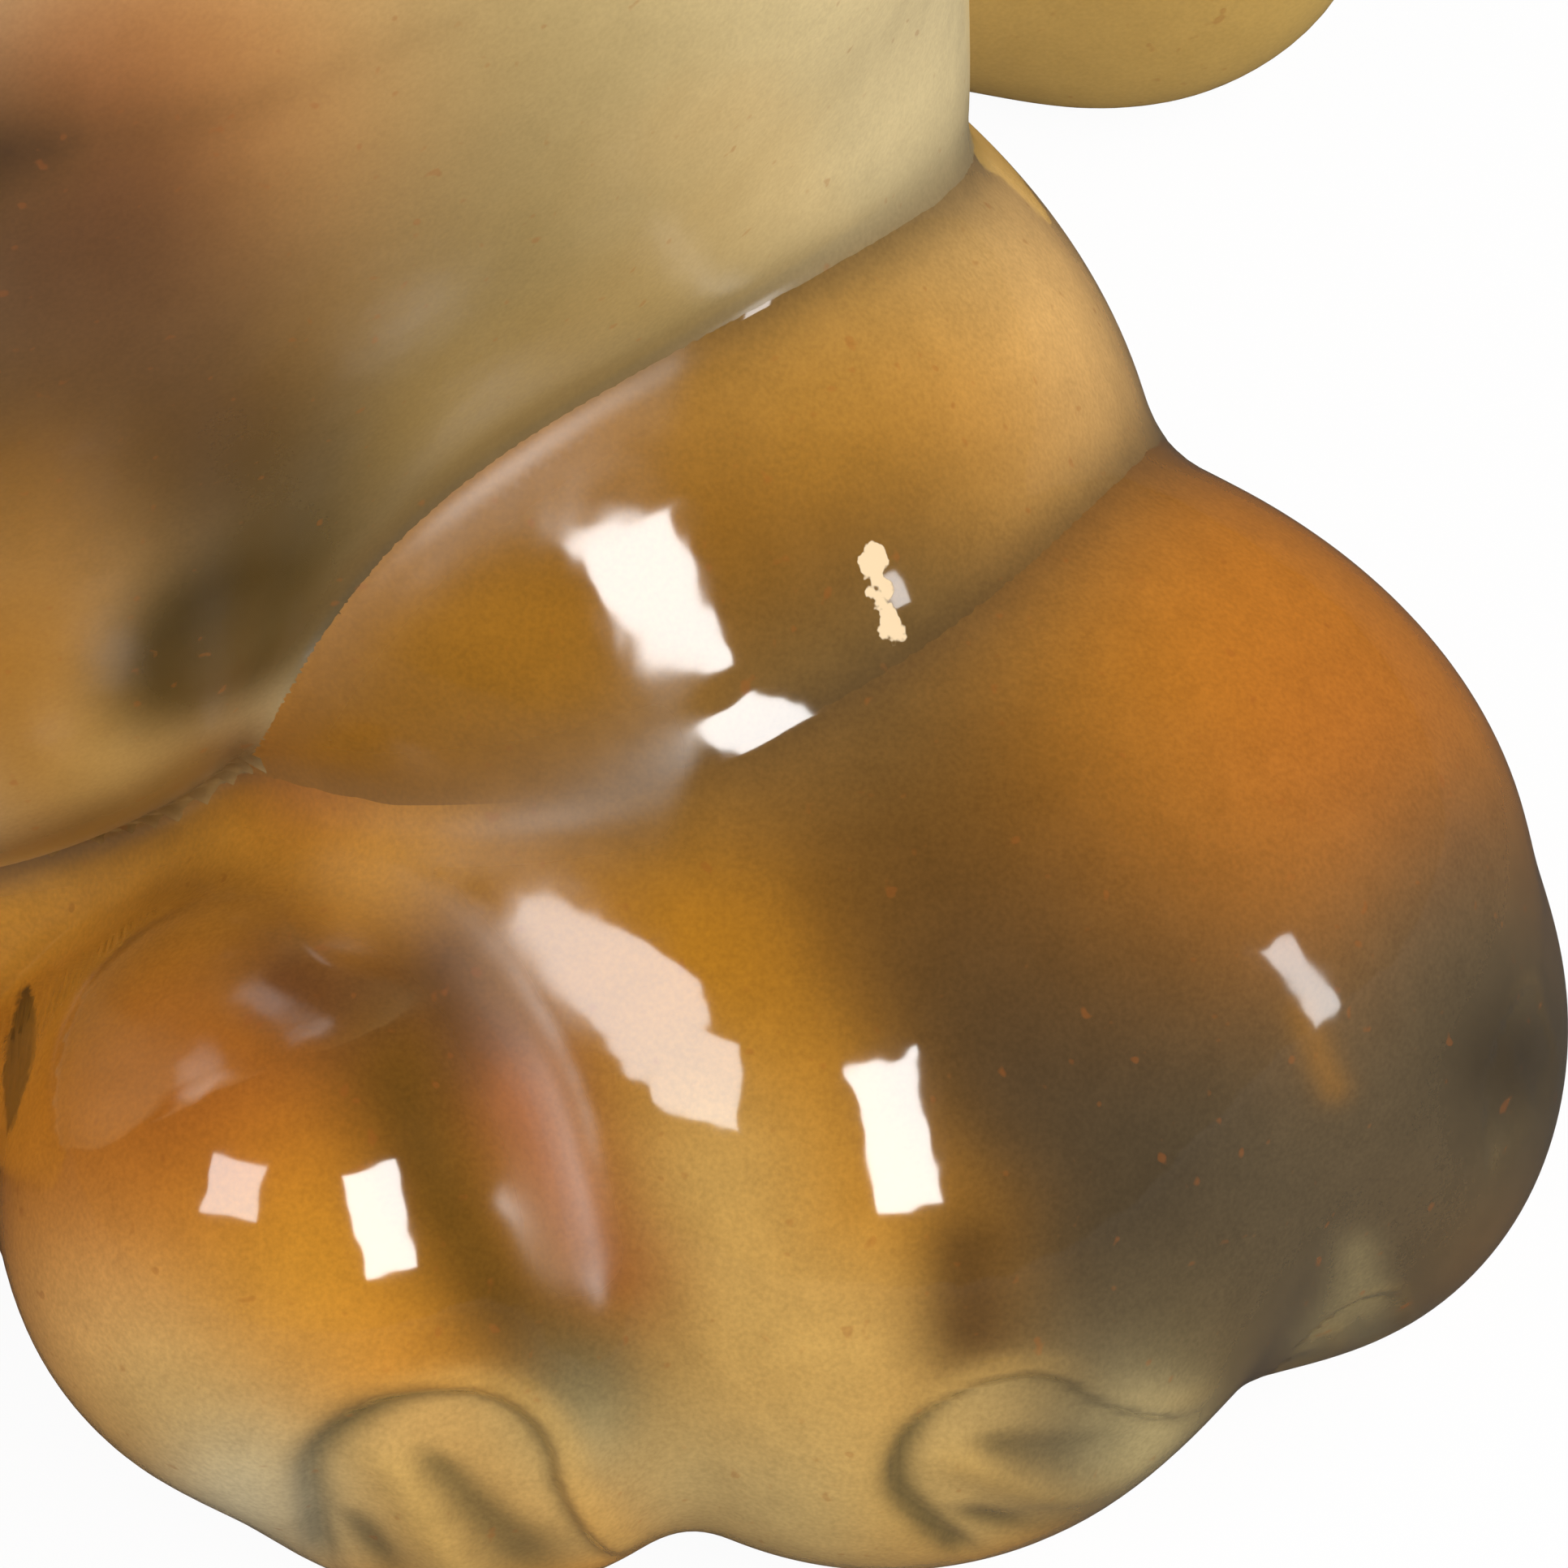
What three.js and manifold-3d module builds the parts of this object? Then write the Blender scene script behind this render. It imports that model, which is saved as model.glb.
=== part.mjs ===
// Seated tiger cub in glazed porcelain, facing +X, resting on z = 0, sizes in millimetres.
// Fifteen slip castings are luted together with a thin seam of slip between neighbours.
import * as THREE from 'three';
import { mergeVertices } from 'three/addons/utils/BufferGeometryUtils.js';
import Module from 'manifold-3d';

const wasm = await Module();
wasm.setup();

// Joining and firing
const lute = 0.3;
const weld = 1e-4;
const ventRadius = 2.5;
const ventDepth = 6;
const ventBack = 9;

// Torso: rump, belly, chest and neck swell into one pear shape
const rumpBack = 26;
const rumpHeight = 44;
const rumpHalf = new THREE.Vector3(46, 46, 47);
const bellyLead = 24;
const bellyRise = 17;
const bellyHalf = new THREE.Vector3(37, 39, 45);
const chestLead = 8;
const chestRise = 39;
const chestHalf = new THREE.Vector3(35, 38, 44);
const neckLead = 13;
const neckRise = 33;
const neckHalf = new THREE.Vector3(30, 31, 28);
const torsoBlend = 20;

// Head: skull and cheeks, with a muzzle of two pads, chin, bridge and nose
const headLead = 12;
const headRise = 36;
const skullHalf = new THREE.Vector3(31, 34, 29);
const cheekLead = 5;
const cheekSpread = 19;
const cheekDrop = 11;
const cheekHalf = new THREE.Vector3(18, 19.5, 17);
const headBlend = 9;
const padLead = 28;
const padSpread = 7.6;
const padDrop = 12.5;
const padHalf = new THREE.Vector3(11.5, 11, 9.4);
const chinLead = 24;
const chinDrop = 21;
const chinHalf = new THREE.Vector3(10, 10.5, 8);
const bridgeLead = 24;
const bridgeDrop = 2;
const bridgeHalf = new THREE.Vector3(14.5, 10, 9);
const bridgeLean = 0.55;
const noseLead = 37.5;
const noseDrop = 6;
const noseHalf = new THREE.Vector3(4.4, 6.4, 4.2);

// Ears: round leaves with a hollow in front
const earBack = 6;
const earSpread = 25.5;
const earRise = 25;
const earHalf = new THREE.Vector3(6.2, 12, 13.5);
const earSplay = 0.42;
const earHollowLead = 5.6;
const earHollowHalf = new THREE.Vector3(5.2, 8, 9);

// Forelegs: a shoulder swell running down into a straight leg
const shoulderLead = 7;
const shoulderSpread = 29;
const shoulderDrop = 2;
const shoulderHalf = new THREE.Vector3(21, 15, 29);
const shoulderLean = -0.21;
const armLead = 7;
const armInset = 4;
const armDrop = 18;
const armRadius = 15.5;
const wristBack = 2.5;
const wristOut = 1.1;
const wristRise = 9;
const wristRadius = 11.2;
const legBlend = 10;

// Forepaws: a pad with four toes in a row
const pawFront = 30.5;
const pawSpread = 11.5;
const pawHeight = 8;
const pawHalf = new THREE.Vector3(15, 10.8, 9.4);
const pawToeLead = 10;
const pawToeSink = 0.1;
const pawToePitch = 3.9;
const pawToeHalf = new THREE.Vector3(6.8, 3.3, 6.8);
const pawToeCount = 4;

// Haunches: the round thigh with a knee in front and a low bulge over the foot
const thighBack = 7;
const thighSpread = 46;
const thighHeight = 44;
const thighHalf = new THREE.Vector3(46, 25, 37);
const kneeLead = 36.9;
const kneeOut = 0.9;
const kneeDrop = 19.2;
const kneeRadius = 6.5;
const bulgeLead = 20.3;
const bulgeOut = 10;
const bulgeDrop = 20.6;
const bulgeHalf = new THREE.Vector3(8.2, 7.5, 7.6);
const haunchBlend = 8;

// Shanks: the folded lower leg, a leaning roll with a calf swell between haunch and foot
const shankLead = 35;
const shankOut = 3;
const shankDrop = 24.9;
const shankHalf = new THREE.Vector3(14.7, 14.6, 9.7);
const shankLean = 0.5;
const shankTurn = 0.34;
const calfLead = 2.7;
const calfOut = 3.7;
const calfRise = 0.5;
const calfRadius = 8.75;
const shankBlend = 5;

// Hind feet: instep and heel, with four toes that fan outward
const instepLead = 40.9;
const instepOut = 12.1;
const instepHeight = 11.5;
const instepHalf = new THREE.Vector3(16.7, 12.7, 11.7);
const heelLead = 41;
const heelBack = 13;
const heelOut = 5;
const heelRadius = 9.3;
const heelBackRadius = 8.4;
const heelSink = 0.3;
const footBlend = 4;
const toeSink = 0.3;
const hindToes = [
  { lead: -9.9, out: 7.3, half: new THREE.Vector3(9.4, 8.2, 9.2), heading: 1.7, nail: 2.9 },
  { lead: 1.5, out: 6.2, half: new THREE.Vector3(9.3, 9.3, 9), heading: 1.37, nail: 2.6 },
  { lead: 10.4, out: 0.7, half: new THREE.Vector3(6.75, 6.75, 6.75), heading: 1.1, nail: 1.7 },
  { lead: 10.8, out: -2.3, half: new THREE.Vector3(6.2, 6.2, 6.2), heading: 0.6, nail: 1.7 },
];

// Nails: a raised horseshoe fold whose lower end sinks into the toe
const nailRise = 0.22;
const nailDip = 0.2;
const hindFoldRadius = 0.5;
const foreNailRadius = 1.7;
const foreFoldRadius = 0.4;

// Tail: a tapering roll from the rump, laid on the ground round the left haunch
const tailRootRadius = 10.5;
const tailTipRadius = 8;
const tailSink = 0.4;
const tailRootRise = 8;
const tailRoute = [
  [-20, 0],
  [-39, 12],
  [-46, 32],
  [-38, 51],
  [-17, 62],
  [5, 64],
  [25, 62.5],
];

// Facets round and along each skin
const facets = {
  torso: [28, 20],
  head: [26, 16],
  muzzle: [12, 8],
  nose: [10, 6],
  ear: [14, 8],
  foreleg: [18, 14],
  forepaw: [16, 8],
  foreToe: [8, 6],
  haunch: [26, 16],
  shank: [20, 10],
  sole: [14, 14],
  hindToe: [11, 7],
  nailFold: [3, 9],
  tail: [12, 24],
  vent: 20,
};

const vector = (x, y, z) => new THREE.Vector3(x, y, z);

/** Distance from an ellipsoid's skin, negative inside. */
function swell(at, half, lean = 0, turn = 0) {
  const undo = new THREE.Matrix4().makeRotationFromEuler(new THREE.Euler(0, lean, turn, 'ZYX')).invert();
  const local = new THREE.Vector3();
  return (point) => {
    local.copy(point).sub(at).applyMatrix4(undo).divide(half);
    const ratio = local.length();
    const slope = local.divide(half).length();
    if (slope < weld) return -Math.min(half.x, half.y, half.z);
    return (ratio * (ratio - 1)) / slope;
  };
}

/** Distance from a tapering round limb between two points. */
function limb(from, to, fromRadius, toRadius) {
  const axis = to.clone().sub(from);
  const local = new THREE.Vector3();
  return (point) => {
    local.copy(point).sub(from);
    const share = THREE.MathUtils.clamp(local.dot(axis) / axis.lengthSq(), 0, 1);
    return local.addScaledVector(axis, -share).length() - THREE.MathUtils.lerp(fromRadius, toRadius, share);
  };
}

/** One skin over several swells, with a fillet about as wide as the blend where they meet. */
function blended(blend, fields) {
  return (point) => fields.map((field) => field(point)).reduce((near, next) => {
    const overlap = Math.max(blend - Math.abs(near - next), 0) / blend;
    return Math.min(near, next) - overlap * overlap * blend * 0.25;
  });
}

/** Distance along a ray from the heart of a casting to its skin. */
function skinAt(field, heart, ray, grow) {
  const probe = new THREE.Vector3();
  const depth = (t) => field(probe.copy(heart).addScaledVector(ray, t)) - grow;
  let inside = 0;
  let outside = 0.5;
  while (depth(outside) < 0) {
    inside = outside;
    outside += Math.max(0.5, -0.6 * depth(outside));
  }
  for (let step = 0; step < 24; step += 1) {
    const middle = (inside + outside) / 2;
    if (depth(middle) < 0) inside = middle;
    else outside = middle;
  }
  return (inside + outside) / 2;
}

/** Closed skin of a casting, on a globe of rays stretched by its reach along its own axis. */
function skin(field, heart, reach, axis, mesh, grow) {
  const shape = new THREE.SphereGeometry(1, ...mesh).rotateX(Math.PI / 2);
  const swing = new THREE.Quaternion().setFromUnitVectors(vector(0, 0, 1), axis.clone().normalize());
  const spots = shape.attributes.position;
  const ray = new THREE.Vector3();
  for (let i = 0; i < spots.count; i += 1) {
    ray.fromBufferAttribute(spots, i).multiply(reach).applyQuaternion(swing).normalize();
    const distance = skinAt(field, heart, ray, grow);
    spots.setXYZ(i, heart.x + ray.x * distance, heart.y + ray.y * distance, heart.z + ray.z * distance);
  }
  return shape;
}

/** Solid from a closed geometry. */
function solid(geometry) {
  geometry.deleteAttribute('normal');
  geometry.deleteAttribute('uv');
  const welded = mergeVertices(geometry, weld);
  return new wasm.Manifold(new wasm.Mesh({
    numProp: 3,
    vertProperties: new Float32Array(welded.attributes.position.array),
    triVerts: new Uint32Array(welded.index.array),
  }));
}

/** A casting as it is, and grown by the seam so that a neighbour can be cut to it. */
function casting(field, heart, reach, axis, mesh) {
  const [own, grown] = [0, lute].map((grow) => solid(skin(field, heart, reach, axis, mesh, grow)));
  return { own, grown };
}

/** Joins castings that come out of one mould. */
function joined(castings) {
  return {
    own: castings.map((part) => part.own).reduce((whole, next) => whole.add(next)),
    grown: castings.map((part) => part.grown).reduce((whole, next) => whole.add(next)),
  };
}

const upright = vector(0, 0, 1);
const rump = vector(-rumpBack, 0, rumpHeight);
const belly = rump.clone().add(vector(bellyLead, 0, bellyRise));
const chest = belly.clone().add(vector(chestLead, 0, chestRise));
const neck = chest.clone().add(vector(neckLead, 0, neckRise));
const crown = neck.clone().add(vector(headLead, 0, headRise));
const thighAt = (s) => vector(-thighBack, s * thighSpread, thighHeight);
const pawAt = (s) => vector(pawFront, s * pawSpread, pawHeight);
const lump = (at, half, mesh, lean = 0, turn = 0) => (
  casting(swell(at, half, lean, turn), at, half, upright, mesh)
);

/** Rump, belly, chest and neck in one casting. */
function makeTorso() {
  const field = blended(torsoBlend, [
    swell(rump, rumpHalf),
    swell(belly, bellyHalf),
    swell(chest, chestHalf),
    swell(neck, neckHalf),
  ]);
  const heart = rump.clone().add(neck).multiplyScalar(0.5);
  const axis = neck.clone().sub(rump);
  const reach = vector(bellyHalf.x, bellyHalf.y, axis.length());
  return casting(field, heart, reach, axis, facets.torso);
}

/** Skull and cheeks with the muzzle in front. */
function makeHead() {
  const at = (lead, side, drop) => crown.clone().add(vector(lead, side, -drop));
  const field = blended(headBlend, [
    swell(crown, skullHalf),
    swell(at(cheekLead, -cheekSpread, cheekDrop), cheekHalf),
    swell(at(cheekLead, cheekSpread, cheekDrop), cheekHalf),
  ]);
  return joined([
    casting(field, crown, skullHalf, upright, facets.head),
    lump(at(padLead, -padSpread, padDrop), padHalf, facets.muzzle),
    lump(at(padLead, padSpread, padDrop), padHalf, facets.muzzle),
    lump(at(chinLead, 0, chinDrop), chinHalf, facets.muzzle),
    lump(at(bridgeLead, 0, bridgeDrop), bridgeHalf, facets.muzzle, bridgeLean),
    lump(at(noseLead, 0, noseDrop), noseHalf, facets.nose),
  ]);
}

/** Round ear with its hollow, on the side given by s. */
function makeEar(s) {
  const at = crown.clone().add(vector(-earBack, s * earSpread, earRise));
  const tilt = new THREE.Matrix4().makeRotationX(-s * earSplay);
  const leaf = (half, lead) => {
    const shape = new THREE.SphereGeometry(1, ...facets.ear).scale(half.x, half.y, half.z);
    shape.translate(lead, 0, 0).applyMatrix4(tilt);
    return solid(shape.translate(at.x, at.y, at.z));
  };
  return { own: leaf(earHalf, 0).subtract(leaf(earHollowHalf, earHollowLead)) };
}

/** Shoulder and straight foreleg. */
function makeForeleg(s) {
  const shoulder = chest.clone().add(vector(shoulderLead, s * shoulderSpread, -shoulderDrop));
  const arm = shoulder.clone().add(vector(armLead, -s * armInset, -armDrop));
  const wrist = pawAt(s).add(vector(-wristBack, s * wristOut, wristRise));
  const field = blended(legBlend, [
    swell(shoulder, shoulderHalf, shoulderLean),
    limb(arm, wrist, armRadius, wristRadius),
  ]);
  const heart = shoulder.clone().add(wrist).multiplyScalar(0.5);
  const axis = shoulder.clone().sub(wrist);
  const reach = vector(armRadius, armRadius, axis.length() / 2 + wristRadius);
  return casting(field, heart, reach, axis, facets.foreleg);
}

/** Horseshoe fold of a nail, pressed into a toe on the heading given. */
function nailFold(toe, half, heading, radius, fold) {
  const out = vector(Math.cos(heading), Math.sin(heading), nailRise).normalize();
  const skinReach = 1 / out.clone().divide(half).length();
  const sink = (radius * radius) / (2 * skinReach);
  const at = toe.clone().addScaledVector(out, skinReach - sink);
  const facing = out.clone().addScaledVector(upright, -nailDip).normalize();
  const swing = new THREE.Quaternion().setFromUnitVectors(upright, facing);
  const ring = new THREE.TorusGeometry(radius, fold, ...facets.nailFold).applyQuaternion(swing);
  return solid(ring.translate(at.x, at.y, at.z));
}

/** Pad and four toes of a forepaw. */
function makeForepaw(s) {
  const pad = lump(pawAt(s), pawHalf, facets.forepaw);
  const toes = Array.from({ length: pawToeCount }, (_, i) => {
    const side = (i - (pawToeCount - 1) / 2) * pawToePitch;
    const at = vector(pawFront + pawToeLead, s * pawSpread + side, pawToeHalf.z - pawToeSink);
    const toe = lump(at, pawToeHalf, facets.foreToe);
    toe.own = toe.own.add(nailFold(at, pawToeHalf, 0, foreNailRadius, foreFoldRadius));
    return toe;
  });
  return joined([pad, ...toes]);
}

/** Thigh, knee and low bulge in one casting. */
function makeHaunch(s) {
  const thigh = thighAt(s);
  const knee = thighAt(s).add(vector(kneeLead, s * kneeOut, -kneeDrop));
  const bulge = thighAt(s).add(vector(bulgeLead, s * bulgeOut, -bulgeDrop));
  const field = blended(haunchBlend, [
    swell(thigh, thighHalf),
    swell(bulge, bulgeHalf),
    limb(thigh, knee, kneeRadius, kneeRadius),
  ]);
  return casting(field, thigh, thighHalf, upright, facets.haunch);
}

/** Folded lower leg with its calf. */
function makeShank(s) {
  const at = thighAt(s).add(vector(shankLead, s * shankOut, -shankDrop));
  const calf = at.clone().add(vector(calfLead, s * calfOut, calfRise));
  const field = blended(shankBlend, [
    swell(at, shankHalf, shankLean, -s * shankTurn),
    swell(calf, vector(calfRadius, calfRadius, calfRadius)),
  ]);
  return casting(field, at, shankHalf, upright, facets.shank);
}

/** Instep, heel and four fanned toes with their nail folds. */
function makeHindFoot(s) {
  const onGround = (lead, out, height) => vector(lead - thighBack, s * (thighSpread + out), height);
  const front = onGround(heelLead, heelOut, heelRadius - heelSink);
  const back = onGround(-heelBack, heelOut, heelBackRadius - heelSink);
  const instep = onGround(instepLead, instepOut, instepHeight);
  const field = blended(footBlend, [
    swell(instep, instepHalf),
    limb(front, back, heelRadius, heelBackRadius),
  ]);
  const heart = front.clone().lerp(back, 0.3);
  const reach = vector(instepHalf.z, instepHalf.y, front.distanceTo(back) / 2 + heelRadius);
  const sole = casting(field, heart, reach, vector(1, 0, 0), facets.sole);
  const toes = hindToes.map(({ lead, out, half, heading, nail }) => {
    const at = onGround(instepLead + lead, instepOut + out, half.z - toeSink);
    const toe = lump(at, half, facets.hindToe);
    toe.own = toe.own.add(nailFold(at, half, s * heading, nail, hindFoldRadius));
    return toe;
  });
  return joined([sole, ...toes]);
}

/** Tail as a tapering tube along its route, rounded off at both ends. */
function makeTail() {
  const radius = (share) => THREE.MathUtils.lerp(tailRootRadius, tailTipRadius, share);
  const points = tailRoute.map(([x, y], i) => {
    const share = i / (tailRoute.length - 1);
    return vector(x - rumpBack, y, radius(share) - tailSink + tailRootRise * (1 - share) ** 4);
  });
  const route = new THREE.CatmullRomCurve3(points);
  const length = route.getLength();
  const [sides, rows] = facets.tail;
  const shape = new THREE.SphereGeometry(1, sides, rows).rotateX(Math.PI / 2);
  const spots = shape.attributes.position;
  const frames = Array.from({ length: rows + 1 }, (_, row) => {
    const along = (1 - Math.cos((Math.PI * row) / rows)) / 2;
    const share = THREE.MathUtils.clamp(0.25 * along + 0.75 * (row / rows), 0, 1);
    const fromEnd = Math.min(share, 1 - share) * length;
    const cap = Math.min(fromEnd / radius(share), 1);
    const wide = radius(share) * Math.sqrt(1 - (1 - cap) ** 2);
    return { at: route.getPointAt(share), ahead: route.getTangentAt(share), wide };
  });
  for (let i = 0; i < spots.count; i += 1) {
    const row = Math.floor(i / (sides + 1));
    const angle = (2 * Math.PI * (i % (sides + 1))) / sides;
    const { at, ahead, wide } = frames[row];
    const across = vector(ahead.y, -ahead.x, 0).normalize();
    const over = ahead.clone().cross(across).negate();
    const spot = across.multiplyScalar(Math.cos(angle)).addScaledVector(over, Math.sin(angle));
    spot.multiplyScalar(wide).add(at);
    spots.setXYZ(i, spot.x, spot.y, spot.z);
  }
  return { own: solid(shape) };
}

const groundSpan = 3 * crown.z;
const ground = solid(new THREE.BoxGeometry(groundSpan, groundSpan, crown.z).translate(0, 0, -crown.z / 2));
const vent = solid(new THREE.CylinderGeometry(ventRadius, ventRadius, ventDepth, facets.vent)
  .rotateX(Math.PI / 2).translate(-rumpBack - ventBack, 0, ventDepth / 2));

/** A casting trimmed to the neighbours that were set before it, and to the ground. */
function trimmed(part, neighbours, extra = []) {
  const cutters = [...neighbours.map((other) => other.grown), ...extra, ground];
  return cutters.reduce((body, cutter) => body.subtract(cutter), part.own);
}

const glazes = {
  amber: new THREE.MeshStandardMaterial({ color: 0xb9781f, roughness: 0.14, metalness: 0 }),
  cream: new THREE.MeshStandardMaterial({ color: 0xcdb985, roughness: 0.14, metalness: 0 }),
  umber: new THREE.MeshStandardMaterial({ color: 0x8a5f22, roughness: 0.14, metalness: 0 }),
};

const tiger = new THREE.Group();

/** Adds a finished casting to the figure under its own name. */
function place(name, body, glaze) {
  const mesh = body.getMesh();
  const geometry = new THREE.BufferGeometry();
  geometry.setAttribute('position', new THREE.BufferAttribute(new Float32Array(mesh.vertProperties), 3));
  geometry.setIndex(new THREE.BufferAttribute(new Uint32Array(mesh.triVerts), 1));
  geometry.computeVertexNormals();
  const piece = new THREE.Mesh(geometry, glazes[glaze]);
  piece.name = name;
  tiger.add(piece);
}

const torso = makeTorso();
const head = makeHead();
place('torso', trimmed(torso, [], [vent]), 'amber');
place('head', trimmed(head, [torso]), 'amber');

const hindQuarters = [];
for (const [side, s] of [['left', 1], ['right', -1]]) {
  const foreleg = makeForeleg(s);
  const haunch = makeHaunch(s);
  const shank = makeShank(s);
  const hindFoot = makeHindFoot(s);
  place(`${side}_ear`, trimmed(makeEar(s), [head]), 'amber');
  place(`${side}_foreleg`, trimmed(foreleg, [torso, head]), 'amber');
  place(`${side}_forepaw`, trimmed(makeForepaw(s), [foreleg, torso]), 'cream');
  place(`${side}_haunch`, trimmed(haunch, [torso, foreleg]), 'cream');
  place(`${side}_shank`, trimmed(shank, [torso, foreleg, haunch]), 'amber');
  place(`${side}_hind_foot`, trimmed(hindFoot, [torso, haunch, shank]), 'umber');
  hindQuarters.push(haunch, hindFoot);
}
place('tail', trimmed(makeTail(), [torso, ...hindQuarters]), 'amber');

const middle = new THREE.Box3().setFromObject(tiger).getCenter(new THREE.Vector3());
tiger.position.set(-middle.x, -middle.y, 0);

export default tiger;
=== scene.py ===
import math

import bpy
import numpy as np
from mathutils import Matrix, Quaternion, Vector


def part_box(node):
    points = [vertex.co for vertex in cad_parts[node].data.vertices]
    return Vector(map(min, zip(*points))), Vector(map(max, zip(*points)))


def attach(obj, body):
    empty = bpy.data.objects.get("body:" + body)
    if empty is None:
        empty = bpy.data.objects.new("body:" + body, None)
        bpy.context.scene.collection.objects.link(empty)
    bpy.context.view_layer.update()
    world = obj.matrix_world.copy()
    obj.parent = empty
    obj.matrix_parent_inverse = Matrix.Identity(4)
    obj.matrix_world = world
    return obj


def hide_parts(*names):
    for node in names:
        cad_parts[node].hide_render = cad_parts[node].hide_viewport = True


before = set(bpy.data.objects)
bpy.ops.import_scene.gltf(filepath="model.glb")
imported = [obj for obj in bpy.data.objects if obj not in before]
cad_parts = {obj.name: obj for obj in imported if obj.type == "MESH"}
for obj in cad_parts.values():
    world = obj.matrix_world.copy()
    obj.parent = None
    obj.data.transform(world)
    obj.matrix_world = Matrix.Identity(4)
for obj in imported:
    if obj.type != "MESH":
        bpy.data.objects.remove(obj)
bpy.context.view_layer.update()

# Seated tiger cub of glazed porcelain, slip cast in fifteen castings and luted together.
# Shapes are worked out in the modeller's millimetres: the tiger faces +X, out is away from its
# middle plane, and its zero stands on the ground 7 mm ahead of the thighs' centres.

MM = 0.001
UPWARD = np.array((0.0, 0.0, 1.0))
SIDES = {"left": 1.0, "right": -1.0}

THIGH = np.array((-7.0, 46.0, 44.0))
THIGH_HALF = np.array((46.0, 25.0, 37.0))
CROWN = np.array((31.0, 0.0, 169.0))
SKULL_HALF = np.array((31.0, 34.0, 29.0))
NECK = np.array((19.0, 0.0, 133.0))
CHEST = np.array((6.0, 0.0, 100.0))
BELLY = np.array((-2.0, 0.0, 61.0))
RUMP = np.array((-26.0, 0.0, 44.0))
SHOULDER = np.array((13.0, 29.0, 98.0))
FOREPAW = np.array((30.5, 11.5, 8.0))
INSTEP = np.array((33.9, 58.1, 11.5))
SHANK = np.array((28.0, 49.0, 19.1))
EAR = np.array((25.0, 25.5, 194.0))
EYE = np.array((51.2, 13.2, 175.4))
EYE_RADIUS = 9.0
TAIL_PATH = np.array((
    (-46.0, 0.0), (-65.0, 12.0), (-72.0, 32.0), (-64.0, 51.0),
    (-43.0, 62.0), (-21.0, 64.0), (-1.0, 62.5)))
TAIL_ROOT, TAIL_TIP = 10.5, 8.0

haunch_lo, haunch_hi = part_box("right_haunch")
SCALE = (haunch_hi.z - haunch_lo.z) / (2.0 * THIGH_HALF[2] * MM)
SHIFT = haunch_lo.x / MM - (THIGH[0] - THIGH_HALF[0]) * SCALE


def place_mm(points):
    """Places in the modeller's millimetres, in the frame's metres."""
    return (np.asarray(points, float) * SCALE + (SHIFT, 0.0, 0.0)) * MM


# Forms

def turning(turn, lean, roll):
    """Turn about Z, after a lean about Y, after a roll about X, as one matrix."""
    (cz, cy, cx), (sz, sy, sx) = np.cos((turn, lean, roll)), np.sin((turn, lean, roll))
    about_z = np.array(((cz, -sz, 0), (sz, cz, 0), (0, 0, 1)))
    about_y = np.array(((cy, 0, sy), (0, 1, 0), (-sy, 0, cy)))
    about_x = np.array(((1, 0, 0), (0, cx, -sx), (0, sx, cx)))
    return about_z @ about_y @ about_x


def length(vectors):
    """Length of each vector: the root of the sum of its squares."""
    return np.sqrt(np.einsum("...i,...i->...", vectors, vectors))


def swell(points, at, half, turn=0.0, lean=0.0, roll=0.0):
    """Distance to an egg: k (k - 1) / m, with k the length of the point over the half sizes
    and m its length over their squares."""
    local = points - np.asarray(at)
    if turn or lean or roll:
        local = local @ turning(turn, lean, roll)
    half = np.asarray(half)
    near = length(local / half)
    slope = length(local / half**2)
    return np.where(slope < 1e-6, -half.min(), near * (near - 1.0) / np.maximum(slope, 1e-6))


def limb(points, start, end, start_radius, end_radius):
    """Distance to a tapered round bar, the hull of a ball at each end. The nearest ball sits back
    along the axis by the distance out times the taper, and its radius is taken off."""
    start = np.asarray(start)
    axis = np.asarray(end) - start
    span = math.sqrt(axis @ axis)
    axis = axis / span
    lean = min(max((start_radius - end_radius) / span, -0.95), 0.95)
    local = points - start
    along = local @ axis
    out = length(local - along[..., None] * axis)
    place = np.clip(along - out * lean / math.sqrt(1.0 - lean * lean), 0.0, span)
    return np.hypot(out, along - place) - start_radius - (end_radius - start_radius) * place / span


def meld(a, b, fillet):
    """Smaller of two distances, lowered by a parabola where they differ by less than the fillet."""
    overlap = np.maximum(fillet - np.abs(a - b), 0.0) / fillet
    return np.minimum(a, b) - overlap * overlap * fillet * 0.25


def eased(a, b, fillet):
    """Smaller of two distances, lowered by a cubic where they differ by less than the fillet."""
    overlap = np.maximum(fillet - np.abs(a - b), 0.0) / fillet
    return np.minimum(a, b) - overlap**3 * fillet / 6.0


def melded(fillet, *fields):
    """Several forms melded one after another with the same fillet."""
    skin = fields[0]
    for field in fields[1:]:
        skin = meld(skin, field, fillet)
    return skin


def carved(a, b, fillet):
    """Form a with form b taken away, and the edge rounded by the fillet."""
    return -meld(-a, b, fillet)


def step(value, low, high):
    """Smooth step from 0 at low to 1 at high: 3 s s - 2 s s s of the clamped share."""
    share = np.clip((value - low) / (high - low), 0.0, 1.0)
    return share * share * (3.0 - 2.0 * share)


def bell(value, width):
    """Bell curve of height 1: e to minus half the square of value over width."""
    return np.exp(-0.5 * (value / width) ** 2)


# Toes and nails

# Front toes of the hind foot: places and half sizes
HIND_TOES = (
    ((35.4, 64.3, 8.9), (9.3, 9.3, 8.8)),
    ((44.3, 58.8, 6.65), (6.75, 6.75, 6.75)),
    ((44.7, 55.8, 6.1), (6.2, 6.2, 6.2)),
)
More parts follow.
